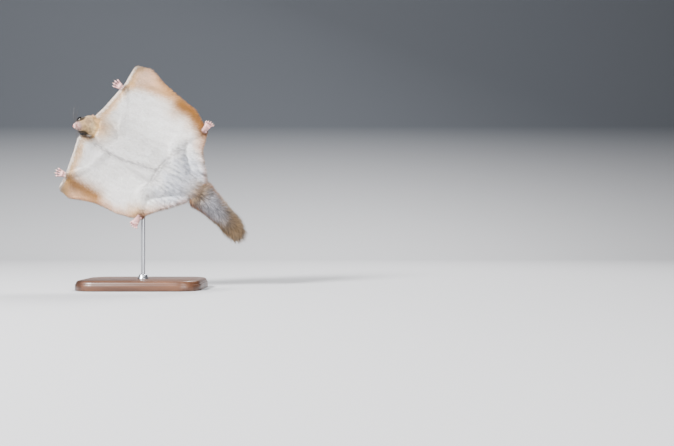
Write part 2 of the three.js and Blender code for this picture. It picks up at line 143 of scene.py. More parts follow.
def evenly(points, count, pull=0.5):
    """The same curve at equal steps along its length."""
    fine = curve(points, np.linspace(0, 1, 600), pull)
    run = np.r_[0, np.cumsum(np.linalg.norm(np.diff(fine, axis=0), axis=1))]
    at = np.linspace(0, run[-1], count)
    return np.stack([np.interp(at, run, fine[:, i]) for i in range(3)], axis=1)


def waves(p, scale, seed):
    """Smooth noise between about -1 and 1, from a few crossing waves."""
    source = np.random.default_rng(seed)
    total = 0
    for _ in range(6):
        way = source.normal(size=3)
        way /= np.linalg.norm(way)
        pitch = scale * source.uniform(0.6, 1.6)
        total = total + np.sin(p @ way * (2 * math.pi / pitch) + source.uniform(0, 6.28))
    return total / 3


# Measures shared with the solids.

LEFT = {
    "shoulder": (120, 13, 8),
    "elbow": (125, 41, 7),
    "wrist": (137, 63, 0),
    "fingers": (149.6, 64, -5),
    "hip": (31, 11, 7),
    "knee": (48, 38, 5),
    "ankle": (28, 65, 0),
    "toes": (24, 82, -12),
    "front": [(150.5, 0, 0), (150.3, 16, 0), (145.8, 33, 1), (140.5, 59, 0), (138.6, 70, 0),
              (138.8, 90.7, 2), (135.5, 96, 4)],
    "rear": [(4, 0, 6), (0, 15.8, 6), (10.5, 29.2, 4), (19.3, 42.6, 2), (24, 60.8, 0),
             (28, 68, 0), (34.9, 74, 0), (47.7, 82.5, 3), (62.7, 85, 5), (97.2, 91.3, 5),
             (115, 97.4, 5), (124, 98.6, 5)],
}
RIGHT = {
    "shoulder": (120, -13, 8),
    "elbow": (129, -40, 7),
    "wrist": (144.5, -61, 0),
    "fingers": (156, -63.4, -5),
    "hip": (32, -11, 7),
    "knee": (54, -34, 5),
    "ankle": (43, -58, 0),
    "toes": (43, -78, -12),
    "front": [(150.5, 0, 0), (155, -14.5, 0), (152.2, -28.9, 1), (147.5, -53, 0),
              (145.8, -66, 1), (147.5, -78, 9), (144, -83.5, 14)],
    "rear": [(4, 0, 6), (8.4, -16.3, 6), (14, -23.2, 4), (25.3, -36.2, 2), (39, -53, 0),
             (44, -61, 0), (52, -65, 1), (61, -67.6, 3), (69.9, -69.8, 5), (99.9, -72.5, 6),
             (120.6, -79.3, 9), (133, -84.5, 13)],
}
SIDES = (RIGHT, LEFT)


def tube_sizes(wide, high, low=None):
    low = high if low is None else low
    return np.stack([wide, high, low], axis=1).astype(float)


TORSO = {
    "points": [(4, 0, 6), (30, 0, 8), (64, 0, 10), (98, 0, 10), (122, 0, 9)],
    "sizes": tube_sizes([9, 17, 20, 17.5, 13], [7, 13.5, 16, 15, 11.5], [7, 11, 13.5, 13, 11]),
}
NECK = {
    "points": [(116, 0, 9), (131, 2.5, 8.5), (143, 7, 7)],
    "sizes": tube_sizes([12, 12, 11], [11, 11, 10], [10.5, 10.5, 10]),
}


def arm(s):
    points = [s["shoulder"], s["elbow"], s["wrist"]]
    return {"points": points, "sizes": tube_sizes([7.5, 5.2, 3.2], [6.5, 5, 3])}


def leg(s):
    points = [s["hip"], s["knee"], s["ankle"]]
    return {"points": points, "sizes": tube_sizes([10, 7.5, 3.4], [8.5, 6.5, 3.2])}


def tail_points():
    steps = 4
    points = [np.array([6.0, 0.0, 6.0])]
    for i in range(steps):
        share = i / (steps - 1)
        rise = math.radians(mix(*TAIL_RISE, share))
        swing = math.radians(mix(*TAIL_SWING, share))
        flat = math.cos(rise)
        way = np.array([-flat * math.cos(swing), -flat * math.sin(swing), math.sin(rise)])
        points.append(points[-1] + way * TAIL_LENGTH / steps)
    return np.array(points)


# Where the belly's skin folds: behind the ribs to each knee, and faintly down the middle.
GROIN_FOLD = [(45, 34), (51, 14), (54, -1.6), (55, -15), (57, -31)]
MIDLINE_FOLD = [(136, -11), (118, -12), (99, -11.6), (80, -8), (54, -1.5)]


# Distances to lines are kept as maps of the plan, one cell to the millimetre.
PLAN_FROM = np.array([-130.0, -130.0])
PLAN_SIZE = 320
LINE_MAPS = {}
LINE_PLACES = 120
TAIL_PLACES = 90


def nearest_on(line, points):
    """For each point the nearest place of a line: its index, and the distance to it."""
    nearest = np.zeros(points.shape[:-1], int)
    best = np.full(points.shape[:-1], np.inf)
    for i, place in enumerate(line):
        gap = np.linalg.norm(points - place, axis=-1)
        closer = gap < best
        best[closer] = gap[closer]
        nearest[closer] = i
    return nearest, best


def near_line(xy, line):
    """Distance from each point of the plan to a line, and how far along it the nearest place is."""
    key = tuple(line)
    if key not in LINE_MAPS:
        fine = curve([(x, y, 0) for x, y in line], np.linspace(0, 1, LINE_PLACES))[:, :2]
        cells = np.arange(PLAN_SIZE, dtype=float)
        grid = np.stack(np.meshgrid(cells, cells, indexing="ij"), axis=-1) + PLAN_FROM
        nearest, best = nearest_on(fine, grid)
        LINE_MAPS[key] = best, nearest / (LINE_PLACES - 1)
    best, along = LINE_MAPS[key]
    at = np.clip(xy - PLAN_FROM, 0, PLAN_SIZE - 1.001)
    i, j = at.astype(int).T
    u, v = (at - np.floor(at)).T
    gap = (best[i, j] * (1 - u) + best[i + 1, j] * u) * (1 - v)
    gap += (best[i, j + 1] * (1 - u) + best[i + 1, j + 1] * u) * v
    return gap, along[i, j]


def along_tail(p):
    """Each point's nearest place on the tail's line: its index, the way from it, the distance."""
    line = curve(tail_points(), np.linspace(0, 1, TAIL_PLACES))
    nearest, best = nearest_on(line, p)
    return nearest, p - line[nearest], best


def rim_gaps(p):
    """Distance in the plan from each point to the sheet's front and rear rim."""
    return [near_line(p[:, :2], whole_rim(key))[0] for key in ("front", "rear")]


ROD_CONTACT = np.array([67.6, -17.3])

# The body and its membranes, as one sheet with an upper and a lower face.

SPAN = 120
CHORD = 115
TIP_ROWS_LEFT_OUT = 3
FRONT_SHORT = 0.7  # hair reaches past the sheet, so the sheet stops short of the solids' rim
REAR_SHORT = 2.3
SOFTENING_ROUNDS = 14


def swelling(xy, tube, inset):
    """How high and how low a round limb or trunk reaches over each point of the plan."""
    t = np.linspace(0, 1, 160)
    line = curve(tube["points"], t)
    sizes = np.maximum(curve(tube["sizes"], t) - inset, 0.5)
    top = np.full(len(xy), -np.inf)
    bottom = np.full(len(xy), np.inf)
    gaps = np.linalg.norm(xy[:, None] - line[None, :, :2], axis=2)
    nearest = gaps.argmin(1)
    share = gaps[np.arange(len(xy)), nearest] / sizes[nearest, 0]
    inside = share < 1
    form = np.sqrt(1 - share[inside] ** 2)
    at = nearest[inside]
    top[inside] = line[at, 2] + sizes[at, 1] * form
    bottom[inside] = line[at, 2] - sizes[at, 2] * form
    return top, bottom


def body_faces():
    """The plan's grid, and the heights of the upper and lower face over it."""
    halves = []
    for s in SIDES:
        front, rear = (
            evenly(s[key], SPAN + TIP_ROWS_LEFT_OUT, 0.3)[:SPAN] for key in ("front", "rear")
        )
        across = unit(rear - front)
        trailing = step(0.42, 0.55, np.linspace(0, 1, SPAN))[:, None]
        front, rear = front + across * FRONT_SHORT, rear - across * REAR_SHORT * trailing
        f = np.linspace(0, 1, CHORD)[None, :, None]
        middle = front[:, None] * (1 - f) + rear[:, None] * f
        out = np.linspace(0, 1, SPAN)[:, None]
        middle[..., 2] += CAMBER * np.sin(math.pi * f[..., 0]) * np.minimum(1, 2.2 * (1 - out))
        halves.append(middle)
    grid = np.concatenate([halves[0][:0:-1], halves[1]])
    plan, level = grid[..., :2], grid[..., 2]
    shape = level.shape
    xy = plan.reshape(-1, 2)
    across = np.abs(np.linspace(-1, 1, shape[0]))[:, None]
    along = np.linspace(0, 1, CHORD)[None]
    rim = np.minimum(np.minimum(along, 1 - along) * 14, (1 - across) * 30)
    half = SHEET_HALF * (0.55 + 0.45 * np.clip(rim, 0, 1))
    top, bottom = level + half, level - half
    tubes = [(TORSO, COAT_BODY), (NECK, COAT_BODY)]
    for s in SIDES:
        tubes += [(arm(s), COAT_LIMB), (leg(s), COAT_LIMB)]
    for tube, inset in tubes:
        high, low = swelling(xy, tube, inset)
        top = np.maximum(top, high.reshape(shape))
        bottom = np.minimum(bottom, low.reshape(shape))
    inner = np.clip(np.minimum(rim, 3) / 3, 0, 1)
    for _ in range(SOFTENING_ROUNDS):
        for face in (top, bottom):
            soft = face.copy()
            soft[1:-1, 1:-1] = 0.25 * (
                face[2:, 1:-1] + face[:-2, 1:-1] + face[1:-1, 2:] + face[1:-1, :-2]
            )
            face += 0.8 * inner * (soft - face)
    fold, _ = near_line(xy, GROIN_FOLD)
    middle, along_fold = near_line(xy, MIDLINE_FOLD)
    foot = np.hypot(*(xy - ROD_CONTACT).T)
    top = np.maximum(top, level + half)
    top += np.exp(-((foot / 5) ** 2)).reshape(shape)
    bottom = np.minimum(bottom, level - half)
    bottom += 1.7 * np.exp(-((fold / 1.1) ** 2)).reshape(shape)
    bottom += (1.2 * np.exp(-(middle**2)) * step(0, 0.1, along_fold)).reshape(shape)
    return plan, top, np.minimum(bottom, level - half)


def sheet_mesh(upper, lower):
    """One closed sheet between two grids of the same shape."""
    rows, columns = upper.shape[:2]
    count = rows * columns
    at = np.arange(count).reshape(rows, columns)
    quads = np.stack([at[:-1, :-1], at[1:, :-1], at[1:, 1:], at[:-1, 1:]], axis=-1).reshape(-1, 4)
    rim = np.concatenate([at[:, 0], at[-1, 1:], at[-2::-1, -1], at[0, -2:0:-1]])
    after = np.roll(rim, -1)
    edge = np.stack([after, rim, rim + count, after + count], axis=1)
    faces = np.concatenate([quads, quads[:, ::-1] + count, edge])
    return np.concatenate([upper.reshape(-1, 3), lower.reshape(-1, 3)]), faces.tolist()


def body_mesh():
    plan, *heights = body_faces()
    return sheet_mesh(*(np.concatenate([plan, z[..., None]], axis=2) for z in heights))


# Lofts.


def ring_quads(at):
    """Quads between rows of points, where each row closes on itself."""
    around = np.roll(at, -1, axis=1)
    return np.stack([at[:-1], around[:-1], around[1:], at[1:]], axis=-1).reshape(-1, 4).tolist()


def tube_faces(rows, sides):
    """Quads round rows of points, and triangles to one more point at each end."""
    first, last = rows * sides, rows * sides + 1
    at = np.arange(first).reshape(rows, sides)
    around = np.roll(at, -1, axis=1)
    start = [(first, j, i) for i, j in zip(at[0], around[0])]
    end = [(last, i, j) for i, j in zip(at[-1], around[-1])]
    return [*ring_quads(at), *start, *end]


def loft(points, sizes, side, sides, rings, cap=1.0, cap_rings=6):
    """A closed tube through points. sizes are half the width and the reach above and below."""
    turn = np.linspace(0, math.pi / 2, cap_rings, endpoint=False)[1:]
    t = np.concatenate([np.zeros(cap_rings - 1), np.linspace(0, 1, rings), np.ones(cap_rings - 1)])
    share = np.concatenate([np.cos(turn)[::-1], np.ones(rings), np.cos(turn)])
    ahead = np.concatenate([-np.sin(turn)[::-1], np.zeros(rings), np.sin(turn)])
    size = curve(sizes, t)
    middle = curve(points, t)
    tangent = unit(curve(points, np.minimum(t + 0.01, 1)) - curve(points, np.maximum(t - 0.01, 0)))
    side = np.asarray(side, float)
    across = unit(side[None] - tangent * (tangent @ side)[:, None])
    up = np.cross(tangent, across)
    reach = cap * np.minimum(size[:, 0], size[:, 1])
    middle = middle + tangent * (ahead * reach)[:, None]
    angle = np.linspace(0, 2 * math.pi, sides, endpoint=False)
    rise = np.where(np.sin(angle)[None] >= 0, size[:, 1:2], size[:, 2:3])
    verts = (
        middle[:, None]
        + across[:, None] * (size[:, :1] * share[:, None] * np.cos(angle))[..., None]
        + up[:, None] * (rise * share[:, None] * np.sin(angle))[..., None]
    )
    to_pole = 1 - np.sin(turn)[-1]
    ends = np.stack([middle[0] - tangent[0] * reach[0] * to_pole,
                     middle[-1] + tangent[-1] * reach[-1] * to_pole])
    return np.concatenate([verts.reshape(-1, 3), ends]), tube_faces(len(t), sides)


def head_turn():
    cy, sy = math.cos(HEAD_YAW), math.sin(HEAD_YAW)
    cp, sp = math.cos(HEAD_PITCH), math.sin(HEAD_PITCH)
    yaw = np.array([[cy, -sy, 0], [sy, cy, 0], [0, 0, 1]])
    pitch = np.array([[cp, 0, sp], [0, 1, 0], [-sp, 0, cp]])
    return yaw @ pitch


HEAD_TURN = head_turn()


def from_head(points):
    return np.asarray(points) * HEAD_SCALE @ HEAD_TURN.T + HEAD_AT


def to_head(points):
    return (np.asarray(points) - HEAD_AT) @ HEAD_TURN / HEAD_SCALE


def mirrored(v, sign):
    return np.array([v[0], v[1] * sign, v[2]], float)


def on_left(h):
    """Places of the head, those of its right half mirrored to the left."""
    return np.stack([h[:, 0], np.abs(h[:, 1]), h[:, 2]], axis=1)


SKULL = {
    "points": [(-22, 0, -0.5), (-14, 0, -0.3), (-7, 0, -0.2), (0, 0, -0.8), (5.5, 0, -2.4),
               (10, 0, -3.6), (13.2, 0, -4.2)],
    "sizes": tube_sizes(
        [10.4, 12.6, 12, 9.2, 6.7, 5.2, 3.4],
        [8, 10.5, 10.4, 8.7, 6.4, 4, 2.6],
        [9, 10.9, 11.2, 9.9, 7.4, 5.1, 3.2],
    ),
}
MOUTH_CORNER = np.array([5.2, 4.9, -7.3])
MOUTH_FRONT = np.array([13.2, 0, -6.9])
NOSE_PAD = np.array([-3.8, 1.75, 1.2])  # its height on the head, half width and half height
NOSTRIL = np.array([15.0, 1.0, -4.1])
# From the middle of each nostril: where a dent lies, its radius and its depth.
NOSTRIL_STEPS = (([0, 0, 0], 0.34, 0.9), ([-0.1, 0.4, 0.25], 0.26, 0.8), ([-0.3, 0.75, 0.6], 0.2, 0.5))
# The whisker pad, the cheek and the hollow before the eye: centre, radius, depth and way.
FACE_FORMS = (
    ((9.4, 3.9, -5.4), 2.7, 0.8, unit((0.15, 1, -0.2))),
    ((-5, 8.5, -5.5), 6.0, 0.8, (0, 1, -0.2)),
    ((6.5, 4.6, 0.4), 2.6, 0.5, (0, -1, -0.4)),
)
LID_OPENING = 57  # degrees from the eye's axis to the lid's rim
WHISKER_ROWS = ((-4.0, 0.35), (-5.0, 0.0), (-6.0, -0.3))  # height on the muzzle, upward lean
WHISKER_COLUMNS = ((11.2, 15), (9.8, 21), (8.4, 27), (7.0, 31))  # place along it, length


def dent(points, centre, radius, depth, way):
    """Moves points near centre along way, by depth at most."""
    gap = np.linalg.norm(points - centre, axis=1)
    return points + np.asarray(way, float) * (depth * np.exp(-((gap / radius) ** 2)))[:, None]


def lip_gap(h):
    """Distance to the line where the lips part, which sags between the nose and the corner."""
    share = np.linspace(0, 1, 40)[:, None]
    line = mix(MOUTH_FRONT, MOUTH_CORNER, share) + [0, 2.0, -0.5] * np.sin(math.pi * share)
    return nearest_on(line, on_left(h))[1]


def nose_share(h):
    """1 in the middle of the nose pad, 0 at its rim, below 0 outside it."""
    height, half_width, half_height = NOSE_PAD
    flat = np.hypot(h[:, 1] / half_width, (h[:, 2] - height) / half_height)
    return np.where(h[:, 0] > 12, 1 - flat, -1)


def eye_angle(h):
    """Degrees from the nearer eye's axis, and the distance from its centre."""
    ray = on_left(h) - EYE_AT
    angle = np.degrees(np.arccos(np.clip(unit(ray) @ unit(EYE_FACING), -1, 1)))
    return angle, np.linalg.norm(ray, axis=1)


def head_mesh():
    """The head's skin: lips, nostrils, whisker pads and lids are worked into it."""
    inset = 0.9 * np.linspace(1.6, 0.35, 7)[:, None]
    h, faces = loft(SKULL["points"], SKULL["sizes"] - inset, (0, 1, 0), 170, 170, 0.8, 16)
    for sign in (1, -1):
        for centre, radius, depth, way in FACE_FORMS:
            h = dent(h, mirrored(centre, sign), radius, depth, mirrored(way, sign))
    pad = nose_share(h)
    h[:, 0] += 0.45 * step(0, 0.7, pad) - 0.2 * np.exp(-((pad / 0.13) ** 2))
    for sign in (1, -1):
        for aside, radius, depth in NOSTRIL_STEPS:
            h = dent(h, mirrored(NOSTRIL + aside, sign), radius, depth, (-1, 0, 0))
    for drop in np.linspace(0.9, 2.9, 8):
        h = dent(h, np.array([14.9 - 0.35 * drop, 0, -4.2 - drop]), 0.35, 0.16, (-1, 0, 0.5))
    inward = unit(np.array([2.0, 0, -4.0]) - h)
    h = h + inward * (0.6 * np.exp(-((lip_gap(h) / 0.42) ** 2)))[:, None]
    for sign in (1, -1):
        centre = mirrored(EYE_AT, sign)
        ray = h - centre
        distance = np.linalg.norm(ray, axis=1)
        angle = np.degrees(np.arccos(np.clip(unit(ray) @ unit(mirrored(EYE_FACING, sign)), -1, 1)))
        close = step(EYE_RADIUS + 2.8, EYE_RADIUS + 0.5, distance)
        open_lid = step(LID_OPENING - 5, LID_OPENING + 1, angle)
        shell = mix(EYE_RADIUS - 1.3, EYE_RADIUS + 0.42, open_lid)
        # A soft fold runs round the lids a little way out from their rim.
        shell = shell - 0.2 * np.exp(-(((angle - LID_OPENING - 17) / 4) ** 2))
        target = np.where(angle < LID_OPENING + 2, shell, np.maximum(distance, shell))
        h = centre + unit(ray) * mix(distance, target, close)[:, None]
    return from_head(h), faces


def throat_mesh():
    """Fills in under the jaw, so that the head runs smoothly into the chest."""
    points = [from_head([-3.0, 0, -4.5]), (140.5, 6.0, -0.5), (130, 4.5, 2.5), (120, 2, 4)]
    sizes = tube_sizes([7.0, 10.0, 11.5, 10], [5, 6, 6, 5], [4.2, 6.0, 6.0, 4.5])
    return loft(points, sizes, (0, 1, 0), 60, 60, 0.8, 8)


EAR_HEIGHT = 16.5
EAR_UP = (-0.88, 0.38, 0.28)
EAR_AHEAD = 3  # from the middle of the cup's curve to the ear's axis


def ear_axes(sign):
    """The ear's root on the head, and its ways up, across and out of the cup."""
    root = mirrored((-10.5, 8.4, 5.5), sign)
    up = unit(mirrored(EAR_UP, sign))
    facing = mirrored((0.35, 0.88, 0.1), sign)
    facing = unit(facing - up * (facing @ up))
    return root, up, np.cross(up, facing), facing


def ear_curl(s):
    """How far the cup turns to each side at a share of its height, and its radius there."""
    wide = 6.4 * np.sqrt(np.maximum(0.02, 1 - (1.72 * s - 0.74) ** 2)) + 0.4
    turn = 1.5 - 0.75 * s
    return turn, wide / turn


def ear_mesh(sign):
    """An open cup, rolled at its root and laid back along the head."""
    root, up, across, facing = ear_axes(sign)
    s, t = np.meshgrid(np.linspace(-0.05, 1, 40), np.linspace(-1, 1, 34), indexing="ij")

    def place(s, t):
        turn, radius = ear_curl(s)
        return (
            root
            + up * (EAR_HEIGHT * s + 0.5 * np.cos(1.2 * t) * s)[..., None]
            + across * (radius * np.sin(turn * t))[..., None]
            + facing * (EAR_AHEAD - radius * np.cos(turn * t))[..., None]
        )

    small = 0.01
    normal = unit(np.cross(place(s + small, t) - place(s - small, t),
                           place(s, t + small) - place(s, t - small)))
    half = 0.22 + 0.2 * (1 - np.clip(s, 0, 1))[..., None]
    verts, faces = sheet_mesh(place(s, t) + normal * half, place(s, t) - normal * half)
    return from_head(verts), faces


def tail_mesh():
    sizes = tube_sizes([10, 6, 4.2, 3, 1.4], [5.5, 4, 3.2, 2.5, 1.2])
    core = curve(tail_points(), np.linspace(0, 0.87, 5))
    return loft(core, sizes, (0, 1, 0), 60, 150, 1.0, 8)


HAND = {"palm": 6, "width": 7, "thick": 2, "digits": 4, "spread": 18, "length": 7.5, "curl": 2,
        "belly": (0, 0, -1)}
FOOT = {"palm": 14, "width": 8, "thick": 2.3, "digits": 5, "spread": 20, "length": 7, "curl": 3,
        "belly": (-0.4, 0, -1)}


def paw_place(start, end, paw):
    """Turns a place in the paw (ahead, aside, below) into the animal's frame."""
    start, end = np.asarray(start, float), np.asarray(end, float)
    along = unit(end - start)
    across = unit(np.cross(np.asarray(paw["belly"], float), along))
    below = np.cross(along, across)
    axes = np.stack([along, across, below])
    return lambda *where: start + np.asarray(where, float) @ axes, across


def digit_path(place, paw, i, ahead, drop):
    share = 2 * i / (paw["digits"] - 1) - 1
    angle = math.radians(paw["spread"]) * share
    far = ahead * paw["length"] * (1 - 0.22 * share * share)
    return place(
        paw["palm"] * 0.86 + far * math.cos(angle),
        share * paw["width"] * 0.38 + far * math.sin(angle),
        drop,
    )


def ball_mesh(centre, radii, rows=14, sides=20):
    """A closed ellipsoid."""
    down = np.linspace(0, math.pi, rows + 1)[1:-1]
    turns = np.linspace(0, 2 * math.pi, sides, endpoint=False)
    a, b = np.meshgrid(down, turns, indexing="ij")
    shell = np.stack([np.sin(a) * np.cos(b), np.sin(a) * np.sin(b), np.cos(a)], axis=-1)
    shell = np.concatenate([shell.reshape(-1, 3), [[0, 0, 1], [0, 0, -1]]])
    faces = [(face[0], *face[:0:-1]) for face in tube_faces(len(down), sides)]
    return np.asarray(centre) + shell * np.asarray(radii), faces


def paw_meshes(start, end, paw):
    """Palm, digits with their joints, and the pads that the belly side shows."""
    place, across = paw_place(start, end, paw)
    palm, width, thick, curl = paw["palm"], paw["width"], paw["thick"], paw["curl"]
    middle = [place(-3, 0, 0), place(palm * 0.5, 0, 0), place(palm, 0, 0)]
    sizes = tube_sizes(np.array([0.32, 0.43, 0.45]) * width, np.array([0.95, 0.8, 0.62]) * thick)
    made = [loft(middle, sizes, across, 28, 24, 0.9, 5)]
    for i in range(paw["digits"]):
        path = [
            digit_path(place, paw, i, ahead, drop * curl)
            for ahead, drop in ((-0.15, 0), (0.25, -0.12), (0.5, -0.3), (0.75, -0.05), (0.98, 0.36))
        ]
        sizes = tube_sizes([1.0, 0.95, 0.85, 0.8, 0.85], [0.95, 0.85, 0.85, 0.72, 0.75])
        made.append(loft(path, sizes, across, 18, 26, 0.9, 5))
        tip = digit_path(place, paw, i, 0.9, 0.33 * curl + 0.45)
        made.append(ball_mesh(tip, (0.95, 0.8, 0.6), rows=10, sides=14))
        if i:
            gap = [digit_path(place, paw, j, -0.02, thick * 0.62) for j in (i - 1, i)]
            made.append(ball_mesh(np.mean(gap, axis=0), (1.35, 1.15, 0.75)))
    for aside in (-0.24, 0.24):
        heel = place(palm * 0.28, aside * width, thick * 0.72)
        made.append(ball_mesh(heel, (1.6, 1.25, 0.7)))
    return made


def claw_meshes(start, end, paw):
    place, across = paw_place(start, end, paw)
    curl = paw["curl"]
    made = []
    for i in range(paw["digits"]):
        tip = digit_path(place, paw, i, 0.93, curl * 0.28)
        middle = digit_path(place, paw, i, 1.2, curl * 0.42)
        point = digit_path(place, paw, i, 1.32, curl * 0.42 + 1.3)
        sizes = tube_sizes([0.42, 0.3, 0.05], [0.6, 0.42, 0.06])
        made.append(loft([tip, middle, point], sizes, across, 12, 14, 1.0, 3))
    return made


# Objects and materials.


def mesh_object(name, verts, faces, material):
    mesh = bpy.data.meshes.new(name)
    mesh.from_pydata(np.asarray(verts).tolist(), [], [list(map(int, f)) for f in faces])
    mesh.validate()
    mesh.update()
    mesh.polygons.foreach_set("use_smooth", [True] * len(mesh.polygons))
    mesh.materials.append(material)
    made = bpy.data.objects.new(name, mesh)
    bpy.context.collection.objects.link(made)
    return made


def fill(tree, made, values):
    """Sets a node's inputs by name: an output is linked, and any other value is set."""
    for name, value in values.items():
        if isinstance(value, bpy.types.NodeSocket):
            tree.links.new(value, made.inputs[name])
        else:
            made.inputs[name].default_value = value


def node(tree, kind, values=(), **settings):
    made = tree.nodes.new("ShaderNode" + kind)
    for key, value in settings.items():
        setattr(made, key, value)
    fill(tree, made, dict(values))
    return made


def new_material(name):
    material = bpy.data.materials.new(name)
    material.use_nodes = True
    return material, material.node_tree


def shaded(material, values):
    """Sets the shader's inputs, and gives the material back."""
    fill(material.node_tree, material.node_tree.nodes["Principled BSDF"], values)
    return material


def noise(tree, scale, detail=3.0, roughness=0.5):
    where = node(tree, "TexCoord").outputs["Object"]
    values = {"Scale": scale, "Detail": detail, "Roughness": roughness, "Vector": where}
    return node(tree, "TexNoise", values).outputs["Fac"]


def spread(tree, source, low, high):
    """A source's 0 to 1 as low to high."""
    return node(tree, "MapRange", {"To Min": low, "To Max": high, "Value": source}).outputs["Result"]


def toned(tree, colour, source, low, high):
    """A colour made darker and lighter by a source, from low to high times as bright."""
    values = {"Value": spread(tree, source, low, high), "Color": colour}
    return node(tree, "HueSaturation", values).outputs["Color"]


def bumped(tree, source, strength, distance):
    values = {"Strength": strength, "Distance": distance, "Height": source}
    return node(tree, "Bump", values).outputs["Normal"]


def linear(red, green, blue):
    """A display colour, 0 to 255, as linear light."""
    c = np.array([red, green, blue], float) / 255
    return np.where(c <= 0.04045, c / 12.92, ((c + 0.055) / 1.055) ** 2.4)


def solid(*display):
    """A display colour as a shader's input takes it."""
    return (*linear(*display), 1)


def ramp(tree, source, *stops):
    """The colours along a source's value, each stop given as its place and a display colour."""
    made = node(tree, "ValToRGB", {"Fac": source})
    elements = made.color_ramp.elements
    while len(elements) < len(stops):
        elements.new(0.5)
    for element, (place, colour) in zip(elements, stops):
        element.position = place
        element.color = solid(*colour)
    return made.outputs["Color"]


def height_share(tree, top):
    """0 at the object's own origin and 1 at the height top."""
    where = node(tree, "TexCoord").outputs["Object"]
    height = node(tree, "SeparateXYZ", {"Vector": where}).outputs["Z"]
    return node(tree, "MapRange", {"From Max": top, "Value": height}).outputs["Result"]


def tinted(name, roughness, sheen, grain, depth, bump_scale, bump_depth):
    """A coat or skin whose colour is its mesh's own tint, varied by fine noise."""
    material, tree = new_material(name)
    tint = node(tree, "Attribute", attribute_name="tint").outputs["Color"]
    rough = 0.08
    return shaded(material, {
        "Base Color": toned(tree, tint, noise(tree, grain, 4.0, 0.6), 1 - depth, 1 + depth),
        "Roughness": spread(tree, noise(tree, grain * 0.3, 2.0), roughness - rough, roughness + rough),
        "Sheen Weight": sheen,
        "Sheen Roughness": 0.4,
        "Specular IOR Level": 0.25,
        "Normal": bumped(tree, noise(tree, bump_scale, 5.0, 0.65), bump_depth, 0.0006),
    })


SKIN = tinted("under_fur", 0.6, 0.03, 900, 0.12, 1500, 0.6)
COAT = tinted("coat", 0.6, 0.06, 700, 0.1, 2500, 0.15)
BARE = tinted("bare_skin", 0.42, 0.0, 500, 0.18, 1400, 0.5)
shaded(BARE, {"Subsurface Weight": 0.12, "Subsurface Scale": 0.002})


def united(pieces, name, material):
    """One closed mesh from several overlapping ones."""
    made = [mesh_object(f"{name}_{i}", placed(v), f, material) for i, (v, f) in enumerate(pieces)]
    whole = made[0]
    whole.name = name
    others = bpy.data.collections.new(f"{name}_parts")
    bpy.context.scene.collection.children.link(others)
    for other in made[1:]:
        bpy.context.collection.objects.unlink(other)
        others.objects.link(other)
    union = whole.modifiers.new("union", "BOOLEAN")
    union.operation = "UNION"
    union.solver = "MANIFOLD"
    union.operand_type = "COLLECTION"
    union.collection = others
    state = bpy.context.evaluated_depsgraph_get()
    mesh = bpy.data.meshes.new_from_object(whole.evaluated_get(state))
    whole.modifiers.clear()
    whole.data = mesh
    for other in made[1:]:
        bpy.data.objects.remove(other)
    bpy.data.collections.remove(others)
    return whole


PAWS = []
for side in SIDES:
    PAWS.append((side["wrist"], side["fingers"], HAND))
    PAWS.append((side["ankle"], side["toes"], FOOT))

flesh = [body_mesh(), head_mesh(), throat_mesh(), ear_mesh(1), ear_mesh(-1), tail_mesh()]
for start, end, paw in PAWS:
    flesh += paw_meshes(start, end, paw)
skin = united(flesh, "skin", SKIN)
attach(skin, "root")
PAIRED = ("ear", "foreleg", "hindleg", "forefoot", "hindfoot",
          "membrane", "wing_tip", "front_membrane", "rear_membrane")
FLESH = ["torso", "neck", "head", "tail"]
FLESH += [f"{part}_{side}" for part in PAIRED for side in ("left", "right")]
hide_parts(*FLESH)


# Markings: where each colour lies, for the skin and the coat alike.

WHITE = linear(252, 249, 246)
BLUE_WHITE = linear(212, 220, 238)
# Painted shade for the belly's folds.
PAINTED_FOLD_SHADE = linear(122, 112, 114)
CREAM = linear(246, 226, 186)
PINK_BEIGE = linear(224, 180, 142)
GOLD = linear(196, 140, 62)
ORANGE = linear(140, 90, 26)
RUST = linear(84, 46, 24)
BROWN_GREY = linear(128, 108, 88)
DARK_BROWN = linear(70, 57, 48)
BUFF = linear(222, 172, 98)
OLIVE = linear(148, 122, 90)
TAIL_RUST = linear(158, 94, 44)
SLATE = linear(178, 182, 194)
PINK = linear(216, 150, 142)
PAW_PINK = linear(218, 168, 164)
PAW_FUR = linear(88, 70, 60)
EAR_TAN = linear(150, 116, 96)
RING = linear(22, 16, 13)
CROWN = linear(104, 84, 66)
LIP = linear(150, 84, 80)
MUZZLE = linear(184, 150, 150)
CHEEK = linear(206, 174, 130)
BRIDGE = linear(140, 110, 86)

BODY, HEAD, EAR, TAIL, PAW = range(5)


def spot(p, centre, radius):
    """1 at centre, falling to 0 about one radius away."""
    return np.exp(-(np.linalg.norm(p - np.asarray(centre), axis=1) / radius) ** 2)


def whole_rim(key):
    right, left = RIGHT[key], LEFT[key]
    return [(x, y) for x, y, _ in right[:0:-1]] + [(x, y) for x, y, _ in left]


